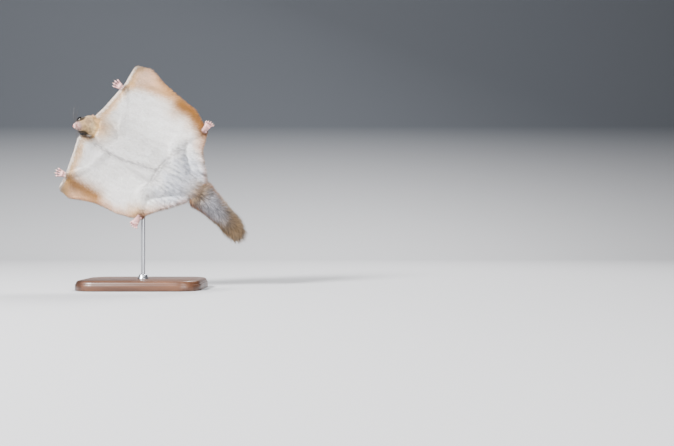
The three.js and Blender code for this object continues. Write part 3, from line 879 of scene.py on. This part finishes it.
def which_part(p):
    """The part of the animal that each place of the skin is on."""
    part = np.full(len(p), BODY)
    low = np.flatnonzero(p[:, 0] < 3)
    nearest, _, gap = along_tail(p[low])
    part[low[(gap < 9) & (nearest > 2)]] = TAIL
    h = to_head(p)
    near_head = (h[:, 0] > -17) & (np.linalg.norm(h - [-4, 0, 0], axis=1) < 24)
    part[near_head & (np.hypot(h[:, 1], h[:, 2]) < 14.5)] = HEAD
    for sign in (1, -1):
        root, up, across, facing = ear_axes(sign)
        ray = h - root
        s = ray @ up / (EAR_HEIGHT + 0.4)
        turn, radius = ear_curl(np.clip(s, 0, 1))
        aside, behind = ray @ across, EAR_AHEAD - ray @ facing
        off = np.abs(np.hypot(aside, behind) - radius)
        cup = (s > -0.1) & (s < 1.1) & (off < 0.8 + 2.2 * step(0.8, 0.95, s))
        cup &= np.abs(np.arctan2(aside, behind)) < turn + 0.15 + 0.6 * step(0.8, 0.95, s)
        beyond = (h @ unit(mirrored((0, 1, 0.3), sign))) > 11.2
        part[cup & (part == BODY)] = HEAD
        part[cup & beyond] = EAR
    for start, end, paw in PAWS:
        place, _ = paw_place(start, end, paw)
        a, b = place(1.5, 0, 0), place(paw["palm"] + paw["length"] + 3, 0, 0)
        share = np.clip((p - a) @ (b - a) / ((b - a) @ (b - a)), 0, 1)
        gap = np.linalg.norm(p - a - share[:, None] * (b - a), axis=1)
        part[(gap < 4 + 4 * share) & (share > 0)] = PAW
    return part


LEFT_WRIST_LINE = [(142, 64), (124, 74), (105, 79), (88, 84)]
LEFT_TRAILING_LINE = [(104, 92), (84, 89), (66, 84), (50, 80)]
LEFT_FOOT_PATCH = [(70, 79), (56, 79), (44, 75), (31, 69)]
RIGHT_WRIST_LINE = [(146, -62), (132, -65), (118, -65), (104, -66)]


def by_line(xy, line, radius):
    """1 on a line of the plan, falling to 0 about one radius from it."""
    return np.exp(-((near_line(xy, line)[0] / radius) ** 2))


def painted(colour, *layers):
    """A colour under layers of others, each given with its share."""
    for over, share in layers:
        colour = blended(colour, over, share)
    return colour


def body_colour(p, n):
    xy, flat = p[:, :2], p * [1, 1, 0]
    side = np.abs(p[:, 1])
    front, rear = rim_gaps(p)
    wander = waves(p, 18, 5)
    behind = step(60, 26, p[:, 0] + 0.1 * side + 6 * wander) * step(56, 20, side + 5 * wander)
    left_tip = step(68, 84, p[:, 1]) * step(70, 90, p[:, 0])
    tip = np.where(p[:, 1] > 0, left_tip, step(62, 76, -p[:, 1]))
    # Painted shade along the groin fold and the fold down the middle.
    fold = np.maximum(by_line(xy, GROIN_FOLD, 1.3) * 0.8, by_line(xy, MIDLINE_FOLD, 1.1))
    ends = []
    for s in SIDES:
        ends += [
            (RUST, 0.9 * spot(flat, (*s["ankle"][:2], 0), 6.5)),
            (RUST, 0.6 * spot(flat, (*s["wrist"][:2], 0), 4.5)),
            (BROWN_GREY, 0.8 * spot(flat, (*s["front"][-1][:2], 0), 9)),
        ]
    belly = painted(
        WHITE,
        (BLUE_WHITE, 0.6 * behind),
        (PINK_BEIGE, 0.8 * tip),
        (PINK_BEIGE, 0.6 * step(14, 4, rear + 3 * wander) * step(20, 50, side)),
        (GOLD, 0.6 * by_line(xy, LEFT_WRIST_LINE, 6)),
        (GOLD, 0.6 * by_line(xy, LEFT_TRAILING_LINE, 6)),
        (GOLD, 0.85 * by_line(xy, LEFT_FOOT_PATCH, 14 + 2 * wander)),
        (ORANGE, 0.9 * by_line(xy, LEFT_FOOT_PATCH, 7.5 + 1.5 * wander)),
        (GOLD, 0.8 * by_line(xy, RIGHT_WRIST_LINE, 11 + wander)),
        (ORANGE, 0.8 * by_line(xy, RIGHT_WRIST_LINE, 5.5 + wander)),
        (BUFF, 0.7 * spot(flat, (50, -58, 0), 11)),
        (BUFF, 0.75 * step(13, 5, front + 2 * wander)),
        (BROWN_GREY, 0.5 * np.exp(-(((front - 4.2) / 1.1) ** 2))),
        (WHITE, 0.8 * step(3.4, 1.8, front)),
        (TAIL_RUST, 0.6 * step(4.5, 0.5, rear + wander)),
        *ends,
        (BUFF, 0.75 * spot(flat, (137, 8, 0), 13)),
        (OLIVE, 0.85 * spot(p, (1, 0, 5), 15 + wander)),
        (PAINTED_FOLD_SHADE, 0.85 * fold),
    )
    back = painted(
        BROWN_GREY,
        (DARK_BROWN, 0.75 * step(26, 48, side + 4 * wander)),
        (GOLD, 0.3 * step(6, 1, np.minimum(front, rear))),
    )
    return blended(belly, back, step(-0.4, 0.3, n[:, 2]))


def head_colour(p, n):
    h = to_head(p)
    mirror = on_left(h)
    ahead, side, up = mirror.T
    below = step(2.5, -2.5, up)
    # Painted shadow: a darker tan patch on the underside, behind the ear towards the throat.
    painted_shadow_by_ear = spot(p * [1, 1, 0], (150.5, 8.5, 0), 4.5) * step(0.2, -0.4, n[:, 2])
    colour = painted(
        CROWN,
        (CHEEK, step(0.8, -4.5, up - 0.2 * ahead + waves(p, 9, 8))),
        (CREAM, 0.75 * below * step(-1, -8, ahead + 0.2 * side)),
        (BUFF, 0.7 * below * step(-4, -12, ahead)),
        (BRIDGE, 0.65 * painted_shadow_by_ear),
        (MUZZLE, 0.8 * step(4, 9, ahead) * step(-1, -4, up)),
        (BRIDGE, 0.6 * step(3, 9, ahead) * step(-3.5, -1, up)),
    )
    colour = colour * (1 + 0.2 * waves(h, 3.2, 14))[:, None]
    for height, _ in WHISKER_ROWS:
        for x, _ in WHISKER_COLUMNS:
            dot = np.exp(-((np.hypot(ahead - x, up - height) / 0.42) ** 2))
            colour = blended(colour, BRIDGE * 0.4, 0.7 * dot * (side > 1.8))
    angle, distance = eye_angle(h)
    ring = step(EYE_RADIUS + 2.6, EYE_RADIUS + 0.5, distance) * step(112, 78, angle)
    # Painted shade in the nostrils' openings.
    nostril = 1.4 * spot(mirror, NOSTRIL, 0.42) + spot(mirror, NOSTRIL + [-0.2, 0.4, 0.25], 0.34)
    return painted(
        colour,
        (RING, 0.93 * ring),
        # A painted highlight: a white patch of fur between each eye and ear.
        (WHITE, 0.7 * spot(mirror, (-7.5, 10.5, 1.5), 2.6)),
        (LIP, 0.9 * step(0.9, 0.3, lip_gap(h))),
        (PINK, step(-0.25, 0.0, nose_share(h))),
        (LIP * 0.25, np.minimum(1, nostril)),
    )


def tail_colour(p, n):
    along = along_tail(p)[0] / (TAIL_PLACES - 1)
    root = step(0.5, 0.05, along) * step(0.2, 0.8, np.abs(n[:, 1]))
    stripe = step(0.5, 0.9, -n[:, 2]) * step(0.0, 0.2, along) * step(0.66, 0.36, along)
    return painted(
        OLIVE,
        (TAIL_RUST, 0.8 * root),
        (SLATE, 0.75 * stripe),
        (DARK_BROWN, 0.55 * step(0.2, 0.9, n[:, 2])),
        (DARK_BROWN, 0.35 * step(0.75, 1.0, along)),
    )


def paw_colour(p, n):
    wrists = [(PAW_FUR, 0.8 * spot(p, at, 0.45 * paw["palm"] + 2)) for at, _, paw in PAWS]
    colour = PAW_PINK * (1 + 0.12 * waves(p, 3, 2))[:, None]
    return painted(colour, (PAW_FUR, 0.8 * step(0.0, 0.5, n[:, 2])), *wrists)


def markings(p, n):
    part = which_part(p)
    colour = np.zeros((len(p), 3))
    painters = {BODY: body_colour, HEAD: head_colour, TAIL: tail_colour, PAW: paw_colour}
    for kind, painter in painters.items():
        here = part == kind
        if here.any():
            colour[here] = painter(p[here], n[here])
    colour[part == EAR] = EAR_TAN
    return part, colour


def set_tint(mesh, colour):
    tint = mesh.attributes.new("tint", "FLOAT_COLOR", "POINT")
    rgba = np.concatenate([np.clip(colour, 0, 1), np.ones((len(colour), 1))], axis=1)
    tint.data.foreach_set("color", rgba.astype(np.float32).reshape(-1))


def in_animal(points):
    """The other way from placed(): metres in the row frame to the animal's millimetres."""
    return (np.asarray(points) / MM - ROOT) @ AXES.T


def fetched(items, key, kind=np.float32, width=3):
    """One row of values from each of a mesh's vertices, corners or faces."""
    values = np.empty(len(items) * width, kind)
    items.foreach_get(key, values)
    return values.reshape(-1, width)


def read_skin():
    mesh = skin.data
    mesh.calc_loop_triangles()
    points = in_animal(fetched(mesh.vertices, "co").astype(float))
    normals = fetched(mesh.vertices, "normal").astype(float) @ AXES.T
    return points, normals, fetched(mesh.loop_triangles, "vertices", np.int32)


skin_points, skin_normals, skin_triangles = read_skin()
skin_part, skin_colour = markings(skin_points, skin_normals)
UNDER_FUR = np.array([0.85, 0.85, 0.85, 0.5, 1.0])  # each part's skin against its coat
set_tint(skin.data, skin_colour * UNDER_FUR[skin_part][:, None])


def bare_faces():
    """Gives the paws, ears and nose pad the bare skin, and leaves the rest under the coat."""
    skin.data.materials.append(BARE)
    bare = (skin_part == PAW) | (skin_part == EAR)
    bare |= (skin_part == HEAD) & (nose_share(to_head(skin_points)) > 0)
    polygons = skin.data.polygons
    starts = fetched(polygons, "loop_start", np.int32, 1)[:, 0]
    corners = fetched(skin.data.loops, "vertex_index", np.int32, 1)[:, 0]
    polygons.foreach_set("material_index", bare[corners[starts]].astype(np.int32))


bare_faces()


# The coat.


def lie_of(part, p):
    """Which way the hair points, before it is laid on the skin."""
    out = np.sign(p[:, 1])
    none, full = 0 * out, 0 * out + 1
    share = step(8, 45, np.abs(p[:, 1]))
    front, _ = rim_gaps(p)
    body = np.stack([-full, out * 0.75 * share, none], axis=1)
    body = blended(body, np.stack([-0.35 * full, out, none], axis=1), 0.8 * step(16, 5, front) * share)
    h = to_head(p)
    mirror = np.stack([full, np.sign(h[:, 1]), full], axis=1)
    back = np.stack([-full, 0.35 * np.tanh(h[:, 1] / 4), np.where(h[:, 2] > 0, 0.1, -0.25)], axis=1)
    away = unit((on_left(h) - EYE_AT) * mirror) - unit(EYE_FACING * mirror)
    by_eye = step(EYE_RADIUS + 2.2, EYE_RADIUS + 0.5, eye_angle(h)[1]) * 0.7
    head = blended(back, unit(away), by_eye) @ HEAD_TURN.T
    ups = [unit(mirrored(EAR_UP, s)) @ HEAD_TURN.T for s in (-1, 1)]
    ear = np.where((h[:, 1] > 0)[:, None], ups[1], ups[0])
    nearest, ray, _ = along_tail(p)
    along = unit(np.gradient(curve(tail_points(), np.linspace(0, 1, TAIL_PLACES)), axis=0))
    aside = ray * [0.2, 1, 0]
    # The last hairs stream on in the picture's plane, although the tail bends away.
    level = np.stack([full, full, mix(1, 0.3, step(50, 80, nearest))], axis=1)
    splay = mix(1.05, 0.6, step(50, 78, nearest))[:, None]
    tail = unit(along[nearest] * level)
    tail = tail + splay * unit(aside) * np.minimum(1, np.abs(aside[:, 1:2]) / 2)
    paw = np.stack([0.1 - 0.3 * (p[:, 0] < 90), out, none], axis=1)
    return unit(np.stack([body, head, ear, tail, paw])[part, np.arange(len(p))])


def coat_rules(part, p, n):
    """Hairs to the square millimetre, and each one's length, width and rise in degrees."""
    side = np.abs(p[:, 1])
    front, rear = rim_gaps(p)
    length = 3.7 + 1.2 * step(50, 10, side) + 1.6 * step(54, 40, p[:, 0]) * step(50, 30, side)
    length = length * (0.65 + 0.35 * step(1, 9, front))
    length += 1.2 * step(5, 0.5, rear) + 6 * spot(p, (3, 0, 6), 10)
    rise = 9 + 9 * step(45, 12, side)
    density = np.where(n[:, 2] < 0, 2.75, 2.15) + 1.3 * step(4, 0, np.minimum(front, rear))
    body = density, length, 0.42, rise
    h = to_head(p)
    angle, distance = eye_angle(h)
    by_eye = step(EYE_RADIUS + 2.0, EYE_RADIUS + 0.6, distance) * step(92, 62, angle)
    bare = (nose_share(h) > -0.22) | (lip_gap(h) < 0.4)
    bare |= (angle < LID_OPENING + 3) & (distance < EYE_RADIUS + 1.2)
    head = (
        (7 + 7 * step(-2, 8, h[:, 0]) + 5 * by_eye) * ~bare,
        mix(3.0 - 2.1 * step(-8, 9, h[:, 0]), 0.7, by_eye),
        mix(0.34 - 0.15 * step(-4, 8, h[:, 0]), 0.2, by_eye),
        15,
    )
    ear = 3.5, 0.8, 0.13, 8
    tail = 6, 15 + 3 * step(-38, -50, p[:, 0]), 0.5, 16
    paw = 6 * step(0.0, 0.4, n[:, 2]), 1.4, 0.22, rise
    return [np.choose(part, values) for values in zip(body, head, ear, tail, paw)]


def roots():
    """Places for the hairs, spread evenly over the skin by the density asked there."""
    a, b, c = (skin_points[skin_triangles[:, i]] for i in range(3))
    cross = np.cross(b - a, c - a)
    area = np.linalg.norm(cross, axis=1) / 2
    centre = (a + b + c) / 3
    density = coat_rules(which_part(centre), centre, unit(cross))[0]
    share = np.cumsum(area * density)
    count = int(share[-1] * (1))
    picks = (np.arange(count) + rng.random(count)) * share[-1] / count
    chosen = np.minimum(np.searchsorted(share, picks), len(share) - 1)
    u, v = rng.random(count), rng.random(count)
    flip = u + v > 1
    u[flip], v[flip] = 1 - u[flip], 1 - v[flip]
    corners = skin_triangles[chosen]
    weights = np.stack([1 - u - v, u, v], axis=1)[..., None]
    spots = (skin_points[corners] * weights).sum(1)
    normals = unit((skin_normals[corners] * weights).sum(1))
    return spots, normals


def bake_places(part, p, n):
    """Each place on a flat map of the skin's own shape: belly, back, head, ears, tail, paws."""
    plan = np.stack([0.24 + p[:, 1] * 0.0024, 0.56 + p[:, 0] * 0.0026], axis=1)
    plan[n[:, 2] > 0, 0] += 0.5
    h = to_head(p)
    round_head = np.arctan2(h[:, 1], h[:, 2] + 2)
    head = np.stack([0.18 + round_head * 0.05, 0.3 + h[:, 0] * 0.005], axis=1)
    ear = np.stack([0.5 + h[:, 1] * 0.003, 0.3 + h[:, 0] * 0.005], axis=1)
    ear[(n @ HEAD_TURN)[:, 1] * h[:, 1] < 0, 0] += 0.1
    nearest, ray, _ = along_tail(p)
    tail = np.stack([0.8 + np.arctan2(ray[:, 1], ray[:, 2]) * 0.045, 0.1 + nearest * 0.004], axis=1)
    paw = np.stack([0.05 + (p[:, 1] + 90) * 0.001, 0.02 + p[:, 0] * 0.0008], axis=1)
    maps = np.stack([plan, head, ear, tail, paw])
    return maps[part, np.arange(len(p))]


def turned(a, b, angle):
    """Direction a turned by an angle towards b."""
    return a * np.cos(angle)[:, None] + b * np.sin(angle)[:, None]


def tufts(name, p, n, part, colour, lie, length, width, rise):
    """One closed, bent, three-sided hair to each root, as one mesh."""
    count = len(p)
    long_hair = part == TAIL
    flat = lie - n * (lie * n).sum(1, keepdims=True)
    stand = np.maximum((lie * n).sum(1), 0)
    flat = unit(flat + 1e-6)
    across = np.cross(n, flat)
    turn = np.radians(rng.normal(0, 11, count) + 9 * waves(p, 11, 3))
    flat = turned(flat, across, turn)
    across = np.cross(n, flat)
    tilt = np.radians(rise * rng.uniform(0.5, 1.5, count)) + np.arcsin(np.clip(stand, 0, 0.9)) * 0.8
    first = turned(flat, n, tilt + 0.25)
    last_tilt = tilt * np.where(long_hair, 0.4, 0.55) - 0.05
    bend = rng.normal(0, 0.12, count)[:, None]
    second = unit(turned(flat, n, last_tilt) + across * bend)
    half = (length * rng.uniform(0.75, 1.15, count))[:, None] / 2
    start = p - n * 0.25
    middle = start + first * half
    tip = middle + second * half
    thick = width * rng.uniform(0.8, 1.2, count) / 2
    ring = []
    for centre, size in ((start, 1.0), (middle, 0.8)):
        wide = across * (thick * size)[:, None]
        high = n * (thick * size * 0.8)[:, None]
        ring += [centre - wide, centre + wide, centre + high]
    verts = np.stack([*ring, tip], axis=1).reshape(-1, 3)
    pattern = np.array([(0, 1, 2), (0, 4, 1), (0, 3, 4), (1, 5, 2), (1, 4, 5), (2, 3, 0), (2, 5, 3),
                        (3, 6, 4), (4, 6, 5), (5, 6, 3)])
    faces = (pattern[None] + 7 * np.arange(count)[:, None, None]).reshape(-1, 3)
    streaked = (part == BODY) * step(62, 34, p[:, 0]) * step(52, 30, np.abs(p[:, 1]))
    speckle = np.where(n[:, 2] > 0, 0.3, mix(0.08, 0.16, streaked))
    speckle = np.where(part == HEAD, 0.22, speckle)
    speckle = np.where(long_hair, 0.6, speckle)
    tone = 1 + speckle * rng.normal(0, 1, count).clip(-1.6, 1.6)
    tone += speckle * 0.8 * waves(p * [0.3, 1, 1], 5, 21)
    streaks = waves(p * [0.12, 1, 1], 3.4, 22) + 0.6 * waves(p * [0.2, 1, 1], 1.8, 23)
    tone += np.where(long_hair, 0.2, 0.22 * streaked + 0.04) * streaks
    tone += np.where(long_hair, 0.34, 0.0) * waves(p, 3.0, 24)
    pale = np.array([0.86, 0.86, 0.86, 0.97, 0.97, 0.97, 1.04])
    dark = np.array([0.62, 0.62, 0.62, 0.92, 0.92, 0.92, 1.2])
    fade = mix(pale, dark, step(0.45, 0.25, colour.mean(1))[:, None])
    shades = colour[:, None] * fade[..., None] * np.clip(tone, 0.35, 1.8)[:, None, None]
    patch = np.array([(0, 0), (1, 0), (0.5, 0.1), (0, 0.5), (1, 0.5), (0.5, 0.6), (0.5, 1)]) * 0.003
    uv = (bake_places(part, p, n)[:, None] + patch[None]).reshape(-1, 2)

    mesh = bpy.data.meshes.new(name)
    mesh.vertices.add(len(verts))
    mesh.vertices.foreach_set("co", placed(verts).astype(np.float32).reshape(-1))
    mesh.loops.add(faces.size)
    mesh.loops.foreach_set("vertex_index", faces.astype(np.int32).reshape(-1))
    mesh.polygons.add(len(faces))
    mesh.polygons.foreach_set("loop_start", np.arange(0, faces.size, 3, dtype=np.int32))
    mesh.update(calc_edges=True)
    mesh.polygons.foreach_set("use_smooth", np.ones(len(faces), bool))
    set_tint(mesh, shades.reshape(-1, 3))
    layer = mesh.uv_layers.new(name="OFBake")
    layer.data.foreach_set("uv", uv[faces.reshape(-1)].astype(np.float32).reshape(-1))
    mesh.materials.append(COAT)
    made = bpy.data.objects.new(name, mesh)
    bpy.context.collection.objects.link(made)
    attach(made, "root")
    return made


HAIRS_TO_A_PIECE = 18000


def clear_of_eyes(tip):
    """Whether each hair's tip, laid down from its root, keeps out of the open eyes."""
    angle, distance = eye_angle(to_head(tip))
    return (distance > EYE_RADIUS + 0.8) | (angle > LID_OPENING + 6)


def grow_coat():
    p, n = roots()
    part = which_part(p)
    # Hairs of two colours mingle where the body's markings meet, and hardly elsewhere.
    astray = rng.normal(0, 1.3, (len(p), 2)) * np.where(part == BODY, 1.0, 0.2)[:, None]
    _, colour = markings(p + np.pad(astray, ((0, 0), (0, 1))), n)
    lie = lie_of(part, p)
    _, length, width, rise = coat_rules(part, p, n)
    clear = clear_of_eyes(p + lie * length[:, None])
    hairs = [values[clear] for values in (p, n, part, colour, lie, length, width, rise)]
    p, n, part = hairs[:3]
    kinds = {
        "tail": part == TAIL,
        "head": (part == HEAD) | (part == EAR) | (part == PAW),
        "belly": (part == BODY) & (n[:, 2] <= 0),
        "back": (part == BODY) & (n[:, 2] > 0),
    }
    for kind, here in kinds.items():
        index = np.flatnonzero(here)
        pieces = max(1, math.ceil(len(index) / HAIRS_TO_A_PIECE))
        for i, some in enumerate(np.array_split(index, pieces)):
            made = tufts(f"coat_{kind}_{i}", *(values[some] for values in hairs))


grow_coat()


# Eyes, claws and whiskers.


def eye_material():
    """Almost black, with a faint brown iris about a wide pupil, under a clear wet surface."""
    material, tree = new_material("eye")
    depth = height_share(tree, EYE_RADIUS * HEAD_SCALE * MM)
    streaks = noise(tree, 900, 4.0, 0.6)
    iris = ramp(tree, depth, (0.55, (24, 15, 11)), (0.72, (6, 5, 5)))
    return shaded(material, {
        "Base Color": toned(tree, iris, streaks, 0.6, 1.5),
        "Roughness": 0.08,
        "IOR": 1.45,
        "Specular IOR Level": 0.15,
        "Coat Weight": 0.35,
        "Coat Roughness": 0.02,
    })


def grow_eyes():
    """Each eye's own +Z looks out of the head, so that its iris does."""
    wet = eye_material()
    for name, sign in (("left", 1), ("right", -1)):
        radius = (EYE_RADIUS - 0.05) * HEAD_SCALE * MM
        verts, faces = ball_mesh((0, 0, 0), (radius, radius, radius), rows=48, sides=72)
        made = mesh_object(f"eye_{name}_ball", verts, faces, wet)
        centre = placed(from_head(mirrored(EYE_AT, sign))[None])[0]
        out = placed(from_head(mirrored(EYE_AT + unit(EYE_FACING), sign))[None])[0] - centre
        made.location = Vector(centre)
        made.rotation_euler = Vector(out).to_track_quat("Z", "Y").to_euler()
        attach(made, "root")
        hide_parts(f"eye_{name}")


def horn_material():
    material, tree = new_material("claw")
    horn = ramp(tree, noise(tree, 1200, 3.0), (0, (150, 128, 112)), (1, (228, 212, 196)))
    return shaded(material, {
        "Base Color": horn,
        "Roughness": 0.28,
        "Subsurface Weight": 0.15,
        "Subsurface Scale": 0.001,
    })


def gathered(pieces):
    """Several closed meshes as one list of vertices and faces."""
    verts, faces, start = [], [], 0
    for some, polygons in pieces:
        verts.append(np.asarray(some))
        faces += [[start + i for i in polygon] for polygon in polygons]
        start += len(some)
    return np.concatenate(verts), faces


def grow_claws():
    claws = [claw for start, end, paw in PAWS for claw in claw_meshes(start, end, paw)]
    verts, faces = gathered(claws)
    made = mesh_object("claws", placed(verts), faces, horn_material())
    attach(made, "root")


def whisker(root, way, length, thick, side):
    s = np.linspace(0, 1, 7)[:, None]
    sweep = np.array([-1.0, 0.1 * side, -0.12])
    path = root + unit(way) * s * length + sweep * (s**2) * length * 0.42
    sizes = tube_sizes(*(np.array([1, 0.9, 0.75, 0.6, 0.42, 0.25, 0.06]) * thick,) * 2)
    return loft(path, sizes, (0.3, 0, 1), 6, 16, 1.0, 2)


def whisker_material():
    material, tree = new_material("whisker")
    rough = spread(tree, noise(tree, 500, 2.0), 0.25, 0.45)
    return shaded(material, {"Base Color": solid(52, 42, 36), "Roughness": rough})


def grow_whiskers():
    made = []
    for sign in (1, -1):
        for height, lean in WHISKER_ROWS:
            for x, length in WHISKER_COLUMNS:
                root = np.array([x, sign * 2.6, height])
                way = np.array([0.45 + rng.normal(0, 0.08), sign, lean + rng.normal(0, 0.08)])
                made.append(whisker(root, way, length * rng.uniform(0.85, 1.1), 0.075, sign))
        for x, z in ((2.5, 6.5), (0.5, 7.6)):
            root = np.array([x, sign * 3.2, z - 1.5])
            made.append(whisker(root, np.array([0.4, 0.6 * sign, 1.2]), 13, 0.06, sign))
    verts, faces = gathered(made)
    piece = mesh_object("whiskers", placed(from_head(verts)), faces, whisker_material())
    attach(piece, "root")


grow_eyes()
grow_claws()
grow_whiskers()


# The stand's finish.


def along_grain(tree, stretch, scale, detail):
    where = node(tree, "TexCoord").outputs["Object"]
    drawn_out = node(tree, "Mapping", {"Scale": stretch, "Vector": where}).outputs["Vector"]
    values = {"Scale": scale, "Detail": detail, "Roughness": 0.6, "Distortion": 0.4}
    return node(tree, "TexNoise", {**values, "Vector": drawn_out}).outputs["Fac"]


def walnut():
    material, tree = new_material("walnut")
    figure = along_grain(tree, (0.12, 1, 1), 55, 5.0)
    pores = along_grain(tree, (0.04, 1, 1), 900, 3.0)
    wood = ramp(tree, figure, (0.32, (44, 26, 17)), (0.46, (74, 45, 29)), (0.58, (98, 62, 40)),
                (0.72, (64, 39, 26)))
    return shaded(material, {
        "Base Color": toned(tree, wood, pores, 0.72, 1.2),
        "Roughness": spread(tree, pores, 0.5, 0.32),
        "Coat Weight": 0.25,
        "Coat Roughness": 0.2,
        "Normal": bumped(tree, pores, 0.25, 0.0003),
    })


def brushed_steel():
    material, tree = new_material("brushed_steel")
    lines = along_grain(tree, (1, 1, 0.02), 1500, 4.0)
    return shaded(material, {
        "Metallic": 1.0,
        "Base Color": toned(tree, solid(186, 188, 192), lines, 0.85, 1.1),
        "Roughness": spread(tree, lines, 0.22, 0.4),
        "Normal": bumped(tree, lines, 0.15, 0.0001),
    })


# The stand, in millimetres about the middle of its underside.
BASE_LENGTH, BASE_WIDTH, BASE_CORNER = 150, 104, 26
# The edge's profile from the underside up: how far it stands in from the outline, and its height.
BASE_PROFILE = ((1.2, 0), (0.35, 0.35), (0, 1.2), (0, 7.0), (0.25, 7.5), (0.9, 7.7), (1.0, 8.0),
                (1.15, 9.2), (1.7, 10.3), (2.6, 11.2), (3.7, 11.75), (4.8, 12.0))
# The rod's collar, from the base's top upwards: radius and height.
COLLAR_PROFILE = ((6.2, 12.0), (6.5, 12.3), (6.45, 12.9), (5.9, 13.5), (5.3, 15.9), (5.15, 16.7),
                  (4.8, 17.15), (4.3, 17.3), (2.9, 17.4), (2.55, 17.7), (2.5, 18.2))
ROD_RADIUS = 2.5
ROD_INTO_COAT = 2.0


def rings_mesh(rings):
    """A closed body from a stack of rings of the same count, with flat ends."""
    verts = np.concatenate(rings)
    at = np.arange(len(verts)).reshape(-1, len(rings[0]))
    return verts, [*ring_quads(at), at[0, ::-1].tolist(), at[-1].tolist()]


def base_ring(inset, height):
    corner = BASE_CORNER - inset
    points = []
    for quarter, (sx, sy) in enumerate(((1, 1), (-1, 1), (-1, -1), (1, -1))):
        cx, cy = sx * (BASE_LENGTH / 2 - BASE_CORNER), sy * (BASE_WIDTH / 2 - BASE_CORNER)
        for a in np.linspace(0, math.pi / 2, 17) + quarter * math.pi / 2:
            points.append((cx + corner * math.cos(a), cy + corner * math.sin(a), height))
    return np.array(points)


def round_ring(radius, height, sides=72):
    a = np.linspace(0, 2 * math.pi, sides, endpoint=False)
    return np.stack([radius * np.cos(a), radius * np.sin(a), np.full(sides, height)], axis=1)


def build_stand():
    verts, faces = rings_mesh([base_ring(*edge) for edge in BASE_PROFILE])
    base = mesh_object("stand_base_piece", verts * MM, faces, walnut())
    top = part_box("stand_rod")[1][2] / MM + ROD_INTO_COAT
    shaft = [(ROD_RADIUS, z) for z in np.linspace(20, top, 12)]
    verts, faces = rings_mesh([round_ring(*edge) for edge in (*COLLAR_PROFILE, *shaft)])
    rod = mesh_object("stand_rod_piece", verts * MM, faces, brushed_steel())
    for piece, slot in ((base, "stand_wood"), (rod, "stand_steel")):
        piece.data.set_sharp_from_angle(angle=math.radians(38))
        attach(piece, "root")
    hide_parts("stand_base")
    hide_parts("stand_rod")


build_stand()


# The floor, the backdrop and the lights.


def backdrop():
    """A floor that bends up into a wall behind, grey and darker with height."""
    material, tree = new_material("floor")
    grey = ramp(tree, height_share(tree, 0.34), (0, (176, 176, 178)), (1, (58, 61, 66)))
    shaded(material, {"Base Color": grey, "Roughness": 0.9})
    near_end, back, bend, top = -3.0, 0.9, 0.5, 4.0
    profile = [(near_end, 0), (back, 0)]
    for i in range(1, 13):
        a = math.radians(90) * i / 12
        profile.append((back + bend * math.sin(a), bend * (1 - math.cos(a))))
    profile.append((back + bend, top))
    verts = [(x, y, z) for y, z in profile for x in (-4.0, 4.0)]
    faces = [(2 * i, 2 * i + 1, 2 * i + 3, 2 * i + 2) for i in range(len(profile) - 1)]
    mesh_object("floor", verts, faces, material)


def light(name, place, size, power):
    data = bpy.data.lights.new(name, "AREA")
    data.size = size
    data.energy = power
    made = bpy.data.objects.new(name, data)
    made.location = place
    way = Vector((0.0, 0.0, 0.15)) - made.location
    made.rotation_euler = way.to_track_quat("-Z", "Y").to_euler()
    bpy.context.collection.objects.link(made)


def studio():
    backdrop()
    light("key", (-0.95, -1.15, 1.15), 0.45, 150)
    light("fill", (0.9, -1.5, 0.5), 0.9, 24)
    light("rim", (0.35, 0.7, 1.1), 0.5, 30)
    world = bpy.data.worlds.new("studio")
    world.use_nodes = True
    sky = world.node_tree.nodes["Background"]
    fill(world.node_tree, sky, {"Color": (0.9, 0.93, 1, 1), "Strength": 0.28})
    bpy.context.scene.world = world


studio()
